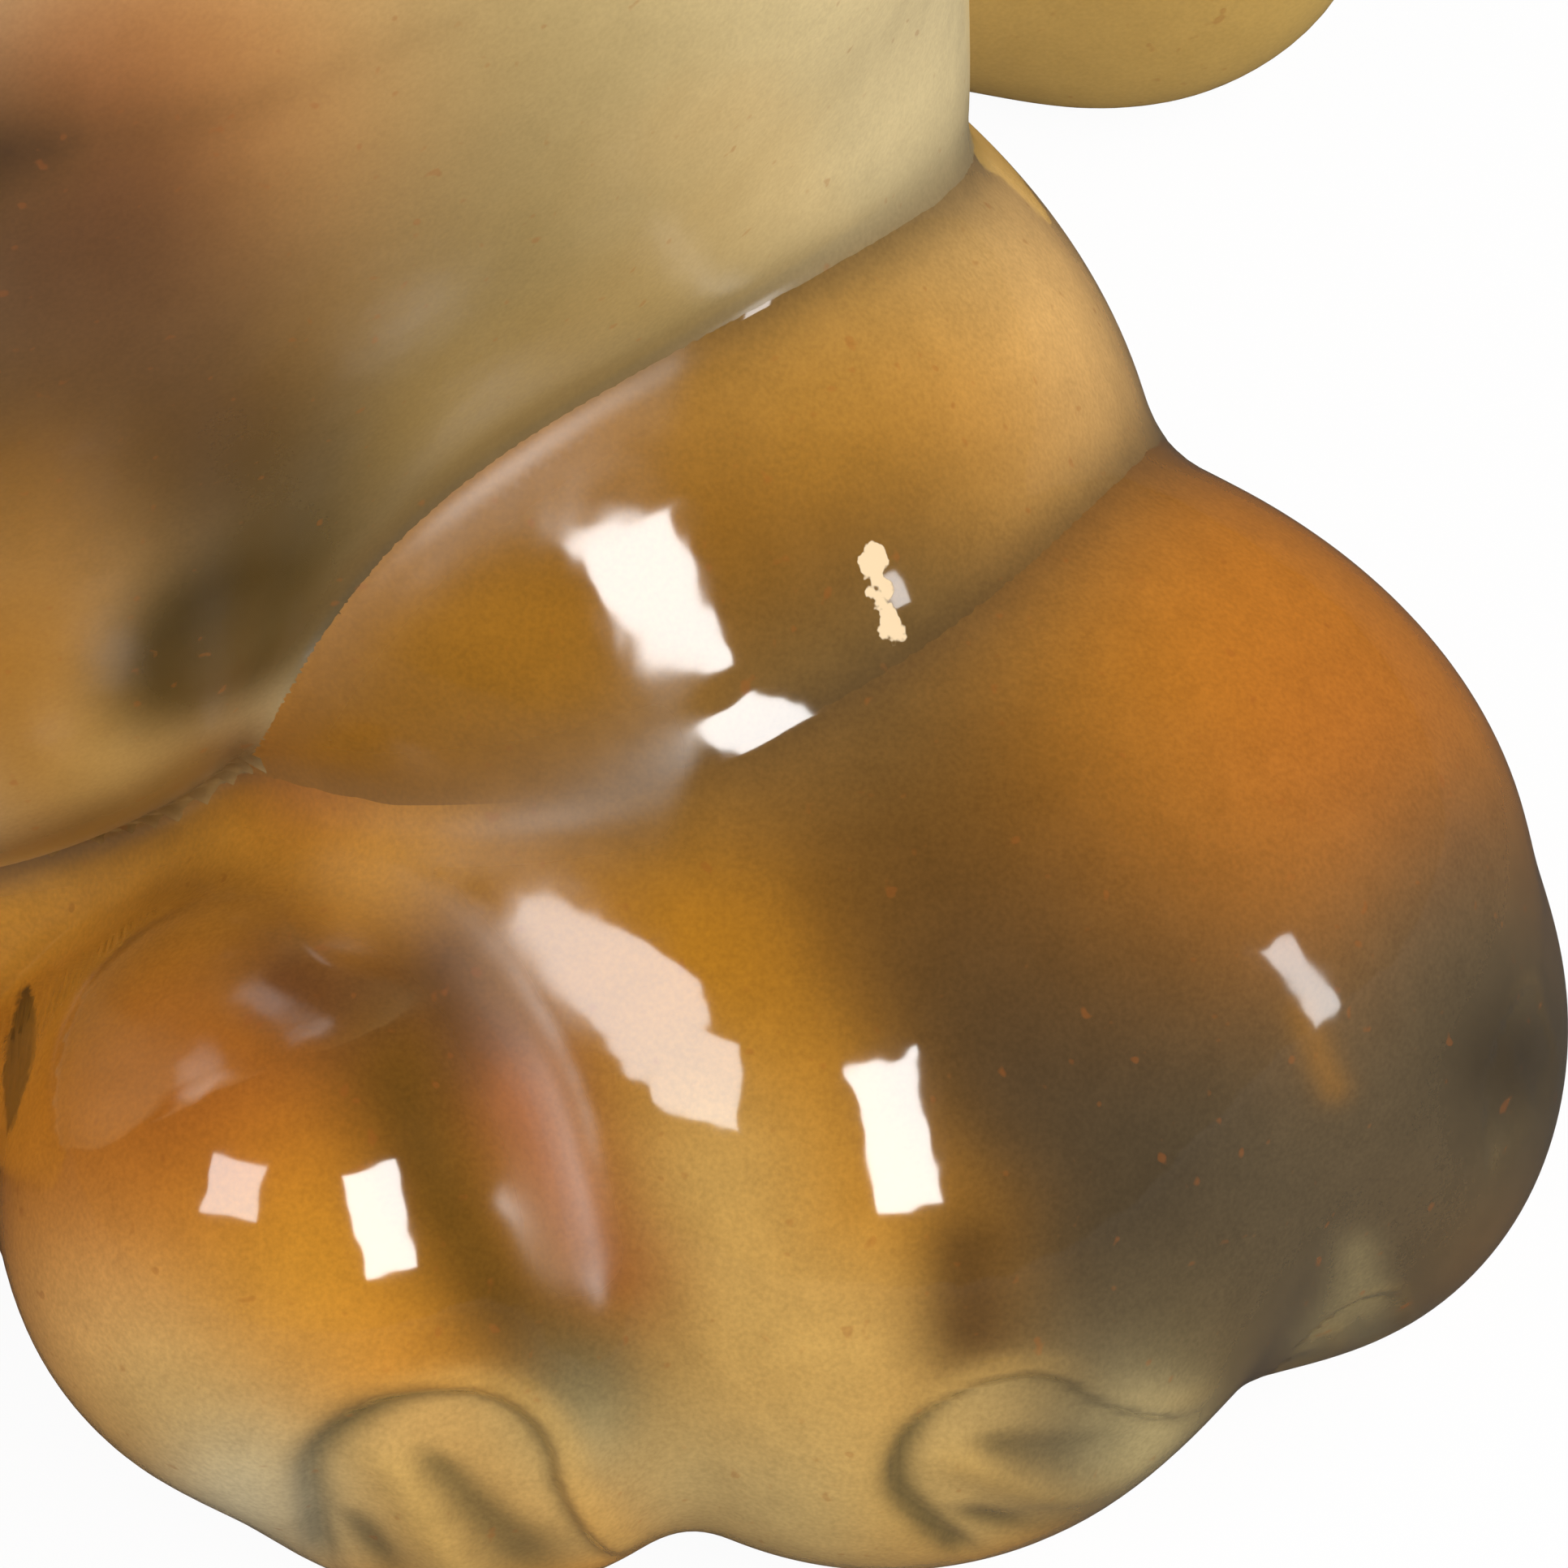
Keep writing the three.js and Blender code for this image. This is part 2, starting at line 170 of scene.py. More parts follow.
# Nails: place, facing, radius and roll of the fold on each toe, the share of its depth, and how far
# its arch shows on the side towards the other toes
HIND_NAILS = (
    ((24.9, 73.7, 9.0), (-0.12, 0.96, 0.25), 3.0, 0.0, 1.0, 0.4),
    ((37.9, 73.2, 8.9), (0.2, 0.97, 0.06), 2.6, -0.5, 1.0, 0.1),
    ((46.1, 65.4, 5.0), (0.45, 0.88, -0.1), 1.5, 0.0, 0.5, 0.3),
    ((50.1, 62.1, 10.5), (0.78, 0.62, 0.0), 1.7, 0.0, 0.3, 0.4),
)
FORE_TOE_PITCH = 3.9
FORE_TOE_OUT = FOREPAW[1] + FORE_TOE_PITCH * (np.arange(4) - 1.5)
FORE_TOE_LEAD = FOREPAW[0] + 10.9 - 0.012 * (FORE_TOE_OUT - FOREPAW[1]) ** 2
FORE_TOE_HALF, FORE_TOE_HEIGHT = (6.8, 3.3, 6.8), 6.7
FORE_NAILS = tuple(
    ((lead + 6.3, out, 7.6), (0.97, 0.0, 0.2), 1.6, 0.0, 1.0, 0.4)
    for lead, out in zip(FORE_TOE_LEAD, FORE_TOE_OUT))


def nail_frame(points, at, facing, radius, roll):
    """Points in a nail's own axes over its radius: across, along towards its root, and outwards."""
    out = np.asarray(facing) / np.linalg.norm(facing)
    side = np.cross(UPWARD, out)
    side /= np.linalg.norm(side)
    root = np.cross(out, side)
    local = points - np.asarray(at)
    across = local @ (math.cos(roll) * side + math.sin(roll) * root) / radius
    along = local @ (math.cos(roll) * root - math.sin(roll) * side) / radius
    return across, along, local @ out / radius


def nail_marks(points, nail):
    """Where a nail's sunken bed, the groove inside its arch, the lip outside it, its slanting claw
    and the valleys beside it lie, each from 0 to 1. The arch is a half ring on legs, of which the
    one towards the other toes spreads: its distance is the length of across and of along where that
    is positive."""
    across, along, height = nail_frame(points, *nail[:4])
    spread = across / (1.0 + 0.3 * np.maximum(-along, 0.0) * step(-across, 0.0, 0.5))
    ring = np.hypot(spread, np.maximum(along, 0.0))
    near = step(height, -1.3, -0.8) * step(along, -1.7, -0.9)
    bed = (1.0 - step(ring, 0.86, 1.02)) * near
    outer = step(across, -0.4, 0.6)
    line = bell(ring - 0.92, 0.05 + 0.07 * outer) * near * (nail[5] + (1.0 - nail[5]) * outer)
    lip = bell(ring - 1.09, 0.09) * near * (1.0 - 0.8 * outer)
    middle = across - 0.13 - 0.3 * along
    low = 1.0 - step(along, 0.15, 0.6)
    claw = bell(middle, 0.2) * low * bed
    down = np.clip(0.5 - along, 0.0, 1.2)
    valley = bell(middle + 0.16 + 0.28 * down, 0.08 + 0.12 * down) * step(down, 0.0, 0.35) * bed
    far_valley = bell(middle - 0.62, 0.13) * (1.0 - step(along, -0.75, -0.25)) * bed
    return bed, line, lip, claw, np.maximum(valley, far_valley)


def nail_rise(points, nails):
    """Height of the nails: bed, groove and valleys sunk, lip and claw raised, in shares of the
    nail's radius."""
    rise = 0.0
    for nail in nails:
        bed, line, lip, claw, valley = nail_marks(points, nail)
        raised = 0.12 * claw + 0.03 * lip
        sunk = 0.09 * bed + 0.05 * line + 0.06 * valley
        rise = rise + nail[2] * nail[4] * (raised - sunk)
    return rise


# Castings: each gives its distance in millimetres; paired ones take points folded to the out side

TORSO_EGGS = (
    (RUMP, (46.0, 46.0, 47.0)),
    (BELLY, (37.0, 39.0, 45.0)),
    (CHEST, (35.0, 38.0, 44.0)),
    (NECK, (30.0, 31.0, 28.0)),
)
TORSO_FILLET = 20.0
VENT_BACK, VENT_RADIUS, VENT_DEPTH = 35.0, 2.5, 6.0


def torso(points):
    """Rump, belly, chest and neck under one skin, less the round vent under the rump."""
    body = melded(TORSO_FILLET, *(swell(points, at, half) for at, half in TORSO_EGGS))
    hole = np.hypot(points[..., 0] + VENT_BACK, points[..., 1]) - VENT_RADIUS
    vent = np.maximum(hole, points[..., 2] - VENT_DEPTH)
    return np.maximum(body, -vent)


# Forms of the head as places from the crown's heart, with half sizes
CHEEK, CHEEK_HALF = np.array((5.0, 19.0, -11.0)), (18.0, 19.5, 17.0)
WHISKER_PAD, WHISKER_PAD_HALF = np.array((28.0, 7.6, -12.5)), (11.5, 11.0, 9.4)
CHIN, CHIN_HALF = (24.0, 0.0, -21.0), (10.0, 10.5, 8.0)
BRIDGE, BRIDGE_HALF, BRIDGE_LEAN = (24.0, 0.0, -2.0), (14.5, 10.0, 9.0), 0.55
NOSE, NOSE_HALF = (37.5, 0.0, -6.0), (4.4, 6.4, 4.2)
NOSTRIL, NOSTRIL_HALF, NOSTRIL_TURN = (40.6, 2.9, -7.2), (1.5, 1.3, 0.9), 0.5

# Rims of the eyelid as distances from the eye's axis, with the height and width of each
LID_RIDGE, LID_RIDGE_HEIGHT, LID_RIDGE_WIDTH = 6.3, 1.0, 0.9
LID_FOLD, LID_FOLD_DEPTH, LID_FOLD_WIDTH = 8.6, 0.5, 0.8
EYE_AXIS = np.array((0.80, 0.58, 0.16))
EYE_LEAN, EYE_STRETCH = 0.28, 1.22


def to_left(points):
    """Points of both sides moved to the left one."""
    return points * (1.0, 0.0, 1.0) + np.abs(points) * (0.0, 1.0, 0.0)


def eye_ring(left):
    """Distance from the eye's axis, stretched upwards into an almond leaning to the ear."""
    axis = EYE_AXIS / np.linalg.norm(EYE_AXIS)
    side = np.cross(UPWARD, axis)
    side /= np.linalg.norm(side)
    local = left - EYE
    across = local @ side
    rise = local @ np.cross(axis, side) - EYE_LEAN * across
    return np.hypot(across, EYE_STRETCH * rise)


def head(points):
    """Skull and cheeks, with whisker pads, chin, bridge, nose, and eyes behind their lids."""
    skull = swell(points, CROWN, SKULL_HALF)
    muzzle = None
    left = to_left(points)
    for side in SIDES.values():
        mirror = (1.0, side, 1.0)
        cheek = swell(points, CROWN + CHEEK * mirror, CHEEK_HALF)
        skull = meld(skull, cheek, 9.0)
        pad = swell(points, CROWN + WHISKER_PAD * mirror, WHISKER_PAD_HALF)
        muzzle = pad if muzzle is None else meld(muzzle, pad, 1.6)
    muzzle = meld(muzzle, swell(points, CROWN + CHIN, CHIN_HALF), 1.2)
    muzzle = meld(muzzle, swell(points, CROWN + BRIDGE, BRIDGE_HALF, lean=BRIDGE_LEAN), 4.0)
    face = meld(skull, muzzle, 5.0)
    nose = swell(points, CROWN + NOSE, NOSE_HALF)
    nostril = swell(left, CROWN + NOSTRIL, NOSTRIL_HALF, turn=NOSTRIL_TURN, roll=NOSTRIL_TURN)
    face = meld(face, carved(nose, nostril, 0.6), 1.2)
    eye = swell(left, EYE, (EYE_RADIUS,) * 3)
    ring = eye_ring(left)
    front = step(left[..., 0], 46.0, 50.0)
    ridge = LID_RIDGE_HEIGHT * bell(ring - LID_RIDGE, LID_RIDGE_WIDTH)
    fold = LID_FOLD_DEPTH * bell(ring - LID_FOLD, LID_FOLD_WIDTH)
    return meld(face - front * (ridge - fold), eye, 0.5)


EAR_HALF, EAR_ROLL = (6.2, 12.0, 13.5), -0.42
CUP, CUP_HALF = EAR + (5.6, 0.0, 0.0), (5.2, 8.0, 9.0)


def ear(points):
    """Leaf leaning outwards, with its cup hollowed from the front."""
    leaf = swell(points, EAR, EAR_HALF, roll=EAR_ROLL)
    cup = swell(points, CUP, CUP_HALF, roll=EAR_ROLL)
    return carved(leaf, cup, 1.5)


BLADE_HALF, BLADE_LEAN = (21.0, 15.0, 29.0), -0.21
ELBOW, ELBOW_RADIUS = SHOULDER + (7.0, -4.0, -18.0), 15.5
WRIST, WRIST_RADIUS = FOREPAW + (-2.5, 1.1, 9.0), 11.2


def foreleg(points):
    """Shoulder blade running into a tapered arm down to the wrist."""
    blade = swell(points, SHOULDER, BLADE_HALF, lean=BLADE_LEAN)
    arm = limb(points, ELBOW, WRIST, ELBOW_RADIUS, WRIST_RADIUS)
    return meld(blade, arm, 10.0)


FOREPAW_HALF = (15.0, 10.8, 9.4)


def forepaw(points):
    """Pad with four toes in a row, each with a nail fold."""
    pad = swell(points, FOREPAW, FOREPAW_HALF)
    toes = melded(1.2, *(
        swell(points, (lead, out, FORE_TOE_HEIGHT), FORE_TOE_HALF)
        for lead, out in zip(FORE_TOE_LEAD, FORE_TOE_OUT)))
    return meld(pad, toes, 2.2) - nail_rise(points, FORE_NAILS)


BULGE, BULGE_HALF = THIGH + (20.3, 10.0, -20.6), (8.2, 7.5, 7.6)
KNEE, KNEE_RADIUS = THIGH + (36.9, 0.9, -19.2), 6.5


def haunch(points):
    """Thigh with a low bulge over the foot and a rounded knee."""
    thigh = swell(points, THIGH, THIGH_HALF)
    bulge = swell(points, BULGE, BULGE_HALF)
    knee = limb(points, THIGH, KNEE, KNEE_RADIUS, KNEE_RADIUS)
    return melded(8.0, thigh, bulge, knee)


SHANK_HALF, SHANK_TURN, SHANK_LEAN = (14.7, 14.6, 9.7), -0.34, 0.5
CALF_TOP, CALF_FOOT = SHANK + (2.99, 3.38, 0.61), SHANK + (2.99, 4.44, -0.45)
CALF_RADIUS = 8.5


def shank(points):
    """Fat roll of the lower leg between the haunch and the foot: a leaning egg with a short round
    bar for the calf."""
    roll = swell(points, SHANK, SHANK_HALF, turn=SHANK_TURN, lean=SHANK_LEAN)
    calf = limb(points, CALF_TOP, CALF_FOOT, CALF_RADIUS, CALF_RADIUS)
    return meld(roll, calf, 5.0)


# Bars of the hind foot, each as its two ends and the radius at each
INSTEP_HALF = (16.7, 12.7, 11.7)
HEEL = (34.0, 51.0, 9.0), (-20.0, 51.0, 8.1), 9.3, 8.4
KNUCKLE = (29.95, 62.64, 14.85), (33.89, 64.93, 11.73), 5.12, 7.86
SIDE_TOE_FRONT = (22.58, 66.79, 11.03), (25.6, 66.24, 8.43), 7.57, 7.95
SIDE_TOE_BACK = (17.91, 61.74, 8.08), (22.58, 66.79, 11.03), 4.1, 7.57


def hind_foot(points):
    """Instep on a long heel, three toes in front and one round toe at the side, with nail folds."""
    toes = (swell(points, at, half) for at, half in HIND_TOES)
    front = melded(2.5, swell(points, INSTEP, INSTEP_HALF), *toes)
    front = eased(front, limb(points, *KNUCKLE), 3.1)
    side_toe = meld(limb(points, *SIDE_TOE_FRONT), limb(points, *SIDE_TOE_BACK), 0.5)
    foot = meld(meld(front, limb(points, *HEEL), 4.0), side_toe, 1.1)
    return foot - nail_rise(points, HIND_NAILS)


def tail_line(count):
    """Curve through the tail's points on the ground: cubic between each pair, with the slope at a
    point half the step between its neighbours. Returns points and radii, thinning to the tip."""
    before, after = 2 * TAIL_PATH[0] - TAIL_PATH[1], 2 * TAIL_PATH[-1] - TAIL_PATH[-2]
    knots = np.vstack((before, TAIL_PATH, after))
    place = np.linspace(0.0, len(TAIL_PATH) - 1.0, count)
    span = np.minimum(place.astype(int), len(TAIL_PATH) - 2)
    share = (place - span)[:, None]
    a, b, c, d = (knots[span + i] for i in range(4))
    flat = 0.5 * (2 * b + (c - a) * share + (2 * a - 5 * b + 4 * c - d) * share**2
                  + (3 * b - a - 3 * c + d) * share**3)
    run = place / place[-1]
    radius = TAIL_ROOT + (TAIL_TIP - TAIL_ROOT) * run
    height = radius - 0.4 + 8.0 * (1.0 - run) ** 4
    return np.column_stack((flat, height)), radius


TAIL_LINE, TAIL_RADII = tail_line(25)


def tail(points):
    """Nearest of the short tapered bars along the tail's curve, melded together."""
    bars = (limb(points, TAIL_LINE[i], TAIL_LINE[i + 1], TAIL_RADII[i], TAIL_RADII[i + 1])
            for i in range(len(TAIL_LINE) - 1))
    return melded(1.5, *bars)


# The figure: castings melded in this order, each with the fillet of slip wiped into its seam

CASTINGS = {
    "torso": (torso, 1.0), "head": (head, 8.0), "foreleg": (foreleg, 4.0), "haunch": (haunch, 3.0),
    "forepaw": (forepaw, 1.8), "shank": (shank, 0.8), "hind_foot": (hind_foot, 1.0),
    "ear": (ear, 2.0), "tail": (tail, 2.0),
}


def casting_of(node):
    """Kind of casting and its side: +1 left, -1 right, 0 in the middle."""
    side, _, kind = node.partition("_")
    return (kind, SIDES[side]) if side in SIDES else (node, 0.0)


def folded(points, side):
    """Points with the side's out direction made positive."""
    return points * (1.0, side, 1.0) if side else points


def depths(points, nodes):
    """Distance to each of the castings named, as a list."""
    found = []
    for node in nodes:
        kind, side = casting_of(node)
        found.append(CASTINGS[kind][0](folded(points, side)))
    return found


def skin_of(near, nodes):
    """One skin over the castings named: their distances melded in order."""
    skin = near[0]
    for value, node in zip(near[1:], nodes[1:]):
        skin = meld(skin, value, CASTINGS[casting_of(node)[0]][1])
    return skin


def grounded(field, points):
    """A form cut level with the ground, with its lower edge rounded."""
    return -meld(-field, points[..., 2], 1.0)


# Slope of a casting's hidden rim under its neighbours, taper of its lip, and the least lip
TUCK, LIP_TAPER, LIP_LEAST = 0.2, 0.8, -0.15


def piece_field(points, own, nodes, lip):
    """The figure's skin where this casting is nearest, tucked under its neighbours by the lip."""
    near = depths(points, nodes)
    skin = skin_of(near, nodes)
    place = nodes.index(own)
    others = [value for i, value in enumerate(near) if i != place]
    past = near[place] - np.minimum.reduce(others)
    wall = past - np.maximum(lip + LIP_TAPER * skin, LIP_LEAST)
    return grounded(np.maximum(skin + TUCK * np.maximum(past, 0.0), wall), points)


STRIDES, HALVINGS = 80, 9
STRIDE_SHARE, LEAST_STRIDE = 0.98, 0.05


def reach_skin(hearts, rays, field):
    """Distance along each ray from its heart to where the field turns positive: strides of the
    field's own depth until it is crossed, then halving between the last two places."""
    count = len(rays)
    inside, outside, place = np.zeros(count), np.zeros(count), np.zeros(count)
    going = np.arange(count)
    for _ in range(STRIDES):
        depth = field(hearts[going] + rays[going] * place[going, None])
        within = depth < 0.0
        outside[going[~within]] = place[going[~within]]
        going = going[within]
        inside[going] = place[going]
        if not going.size:
            break
        place[going] += np.maximum(-depth[within] * STRIDE_SHARE, LEAST_STRIDE)
    outside[going] = place[going]
    for _ in range(HALVINGS):
        middle = 0.5 * (inside + outside)
        within = field(hearts + rays * middle[:, None]) < 0.0
        inside = np.where(within, middle, inside)
        outside = np.where(within, outside, middle)
    return 0.5 * (inside + outside)


LOOKS = 0.05 * np.array(((1, -1, -1), (-1, -1, 1), (-1, 1, -1), (1, 1, 1)))


def skin_slope(points, nodes):
    """Outward direction of the figure's skin: four looks a twentieth of a millimetre away, each
    weighted by the distance found there."""
    slope = 0.0
    for look in LOOKS:
        at = points + look
        slope = slope + grounded(skin_of(depths(at, nodes), nodes), at)[:, None] * look
    return slope / np.maximum(length(slope), 1e-9)[:, None]


# Grids of rays

def globe_rays(heart, reach, rows, columns, axis=(0.0, 0.0, 1.0), crowd=0.0):
    """Rays from one heart: rows by angle from the axis and columns round it, stretched by reach.
    Crowd gathers the rows towards the axis by adding crowd times the sine to their angle."""
    axis = np.asarray(axis, float) / np.linalg.norm(axis)
    side = np.cross(axis, (0.0, 1.0, 0.0) if abs(axis[1]) < 0.9 else (1.0, 0.0, 0.0))
    side /= np.linalg.norm(side)
    over = np.cross(axis, side)
    tilt = np.linspace(0.0, math.pi, rows + 2)[1:-1, None, None]
    tilt = tilt + crowd * np.sin(tilt)
    about = np.linspace(0.0, 2 * math.pi, columns, endpoint=False)[None, :, None]
    rays = -np.cos(tilt) * axis + np.sin(tilt) * (np.cos(about) * side + np.sin(about) * over)
    rays = np.vstack((rays.reshape(-1, 3), -axis, axis)) * np.asarray(reach)
    rays /= length(rays)[:, None]
    return np.tile(np.asarray(heart, float), (len(rays), 1)), rays, columns


def spine_rays(line, cap_rows, columns, up, crowd=0.0, aim=0.0):
    """Rays square to a line of hearts, row by row, with quarter turns to the line's own direction
    at both ends. Crowd gathers the columns towards the aim angle."""
    line = np.asarray(line, float)
    ahead = np.gradient(line, axis=0)
    ahead /= length(ahead)[:, None]
    side = np.cross(up, ahead)
    side /= length(side)[:, None]
    over = np.cross(ahead, side)
    tilt = np.linspace(-0.5 * math.pi, 0.0, cap_rows + 1)[1:-1]
    tilts = np.concatenate((tilt, np.zeros(len(line)), -tilt[::-1]))
    rows = np.clip(np.arange(len(tilts)) - len(tilt), 0, len(line) - 1)
    about = np.linspace(0.0, 2 * math.pi, columns, endpoint=False)
    about = (about - crowd * np.sin(about) + aim)[None, :, None]
    ring = np.cos(about) * side[rows][:, None] + np.sin(about) * over[rows][:, None]
    lift = tilts[:, None, None]
    rays = np.cos(lift) * ring + np.sin(lift) * ahead[rows][:, None]
    hearts = np.broadcast_to(line[rows][:, None], rays.shape)
    hearts = np.vstack((hearts.reshape(-1, 3), line[0], line[-1]))
    return hearts, np.vstack((rays.reshape(-1, 3), -ahead[0], ahead[-1])), columns


def grid_faces(count, columns):
    """Four-sided faces between neighbouring rows, wrapped round, and fans to the two end points."""
    rows = (count - 2) // columns
    index = np.arange(rows * columns).reshape(rows, columns)
    after = np.roll(index, -1, axis=1)
    walls = np.stack((index[:-1], after[:-1], after[1:], index[1:]), axis=-1).reshape(-1, 4)
    first = np.stack((after[0], index[0], np.full(columns, count - 2)), axis=-1)
    last = np.stack((index[-1], after[-1], np.full(columns, count - 1)), axis=-1)
    return walls, np.vstack((first, last))


# Paint: colours as the eye reads them, turned to light values

def glaze_paint(red, green, blue):
    """Light values of a colour given from 0 to 255 as the eye reads it."""
    value = np.array((red, green, blue)) / 255.0
    return np.where(value <= 0.04045, value / 12.92, ((value + 0.055) / 1.055) ** 2.4)


CREAM = glaze_paint(234, 214, 164)
IVORY = glaze_paint(232, 222, 190)
BUFF = glaze_paint(200, 160, 88)
GOLD = glaze_paint(192, 136, 38)
AMBER = glaze_paint(190, 126, 38)
ORANGE = glaze_paint(190, 112, 26)
PEACH = glaze_paint(250, 200, 128)
RUST = glaze_paint(150, 82, 30)
SIENNA = glaze_paint(198, 118, 44)
COCOA = glaze_paint(90, 58, 32)
HONEY = glaze_paint(168, 112, 30)
MOSS = glaze_paint(92, 62, 16)
STRAW = glaze_paint(188, 154, 90)
STONE = glaze_paint(178, 160, 112)
KHAKI = glaze_paint(164, 138, 82)
LODEN = glaze_paint(42, 37, 22)
UMBER = glaze_paint(88, 60, 24)
SLATE = glaze_paint(57, 46, 30)
OLIVE = glaze_paint(108, 92, 58)
ASH = glaze_paint(82, 70, 50)
BARK = glaze_paint(62, 40, 20)
INK = glaze_paint(38, 34, 29)
NAIL_BED = glaze_paint(190, 160, 100)
# Painted shade with pooled glaze, for the grooves and valleys of the nails
NAIL_SHADE_AND_POOL = glaze_paint(88, 74, 42)
ROSE = glaze_paint(176, 104, 84)
IRIS = glaze_paint(196, 160, 40)
# Painted light: bright gold for the foot where the haunch shades it
PAINTED_LIGHT_GOLD = glaze_paint(228, 166, 58)
OCHRE = glaze_paint(172, 114, 24)


def laid(colour, paint, share):
    """Paint laid over a colour by a share from 0 to 1."""
    return colour + (paint - colour) * np.asarray(share)[..., None]


AIM = np.array((0.0, 0.7071, 0.7071))


def flattened(points):
    """Points moved along the airbrush's line of aim onto a plane square to it."""
    points = np.asarray(points)
    return points - (points @ AIM)[..., None] * AIM


def airbrushed(colour, points, slopes, passes):
    """Soft passes of an airbrush on what faces it, each a bell curve of the distance from its path,
    measured square to the aim."""
    flat = flattened(points)
    facing = step(slopes @ AIM, -0.25, 0.2)
    for path, radius, paint, share in passes:
        stops = flattened(path)
        dots = [length(flat - stop) for stop in stops]
        lines = [limb(flat, start, end, 0.0, 0.0) for start, end in zip(stops, stops[1:])]
        nearest = np.minimum.reduce(dots + lines)
        colour = laid(colour, paint, share * facing * bell(nearest, radius))
    return colour


def brush_stroke(points, path, widths):
    """Signed distance to a brush stroke: nearest of its tapered bars."""
    ends = zip(path, path[1:], widths, widths[1:])
    return np.minimum.reduce([limb(points, *bar) for bar in ends])


# Distance that is well clear of any ink, and what is trimmed from a stripe's half width
CLEAR, STRIPE_TRIM = 9.0, 0.35


def bands(along, across, marks):
    """Signed distance to a set of tapered stripes: distance along the body from each stripe's
    wavering middle line, less its half width, which falls to nothing at its reach."""
    nearest = np.full(along.shape, CLEAR)
    for middle, half, reach, slant, waver in marks:
        share = across / reach
        line = middle + slant * across + waver * np.sin(4.0 * share + middle)
        width = half * np.sqrt(np.clip(1.0 - share**2, 0.0, 1.0)) - STRIPE_TRIM
        beyond = -4.0 * (np.abs(share) - 1.0) - STRIPE_TRIM
        width = np.where(np.abs(share) > 1.0, beyond, width)
        nearest = np.minimum(nearest, np.abs(along - line) - width)
    return nearest


# Passes of the airbrush: the stops of its path, its radius, its paint and the paint's share
# Painted shade: a thin umber line along the crease where the haunch meets the foot, laid on both.
PAINTED_CREASE_SHADE = (
    ((14.5, 64.0, 18.8), (16.7, 64.0, 19.8), (18.3, 64.0, 20.7), (19.9, 64.0, 22.4),
     (20.6, 64.0, 22.6)),
    0.5, UMBER, 0.7)
HAUNCH_PASSES = (
    (((36.2, 51.2, 32.0), (33.6, 55.0, 31.8)), 4.5, CREAM, 0.9),
    (((27.0, 62.5, 42.0), (26.5, 62.5, 36.0)), 6.5, KHAKI, 0.85),
    (((23.1, 63.5, 33.6), (21.8, 65.0, 38.0)), 5.0, OLIVE, 0.8),
    (((20.3, 65.4, 34.0), (14.6, 66.4, 34.8)), 4.6, LODEN, 0.95),
    (((30.5, 58.5, 29.0), (26.3, 60.8, 30.0)), 1.8, KHAKI, 0.6),
    (((21.8, 65.5, 45.0),), 3.6, STRAW, 0.5),
    (((19.7, 66.3, 46.0),), 3.3, SIENNA, 0.5),
    (((17.2, 67.2, 44.9),), 3.0, RUST, 0.7),
    (((18.2, 66.9, 41.6), (16.6, 67.4, 41.8), (14.9, 68.0, 43.0)), 2.6, BARK, 0.7),
    (((16.3, 66.1, 32.0),), 2.0, HONEY, 0.35),
    (((15.5, 65.8, 27.0), (16.4, 65.2, 24.2)), 2.3, HONEY, 0.95),
    (((16.0, 65.2, 24.6), (17.4, 65.0, 22.6)), 2.0, MOSS, 0.3),
    (((18.1, 63.5, 21.3),), 1.6, STRAW, 0.6),
    PAINTED_CREASE_SHADE,
)
SHANK_PASSES = (
    (((38.3, 49.7, 25.3), (39.5, 51.5, 24.2)), 2.8, PEACH, 0.9),
    (((40.6, 52.1, 22.1),), 2.0, PEACH, 0.5),
    (((36.0, 54.8, 27.3),), 2.6, STRAW, 0.55),
    (((33.6, 57.2, 27.8),), 2.4, GOLD, 0.55),
    (((37.3, 57.0, 25.3),), 3.0, HONEY, 0.6),
    (((34.6, 59.6, 25.7), (31.0, 60.2, 26.8)), 2.6, MOSS, 0.45),
    (((35.7, 60.4, 23.9),), 1.7, MOSS, 0.7),
    (((33.3, 62.1, 23.5),), 1.7, UMBER, 0.6),
    (((31.8, 62.0, 24.5), (28.1, 63.3, 23.1)), 2.4, MOSS, 0.6),
    (((27.0, 61.9, 25.6),), 2.4, MOSS, 0.9),
    (((26.0, 62.7, 23.9), (24.6, 62.9, 22.3)), 2.6, HONEY, 0.85),
    (((26.0, 62.9, 22.3), (24.0, 62.7, 20.8)), 2.0, MOSS, 0.35),
)
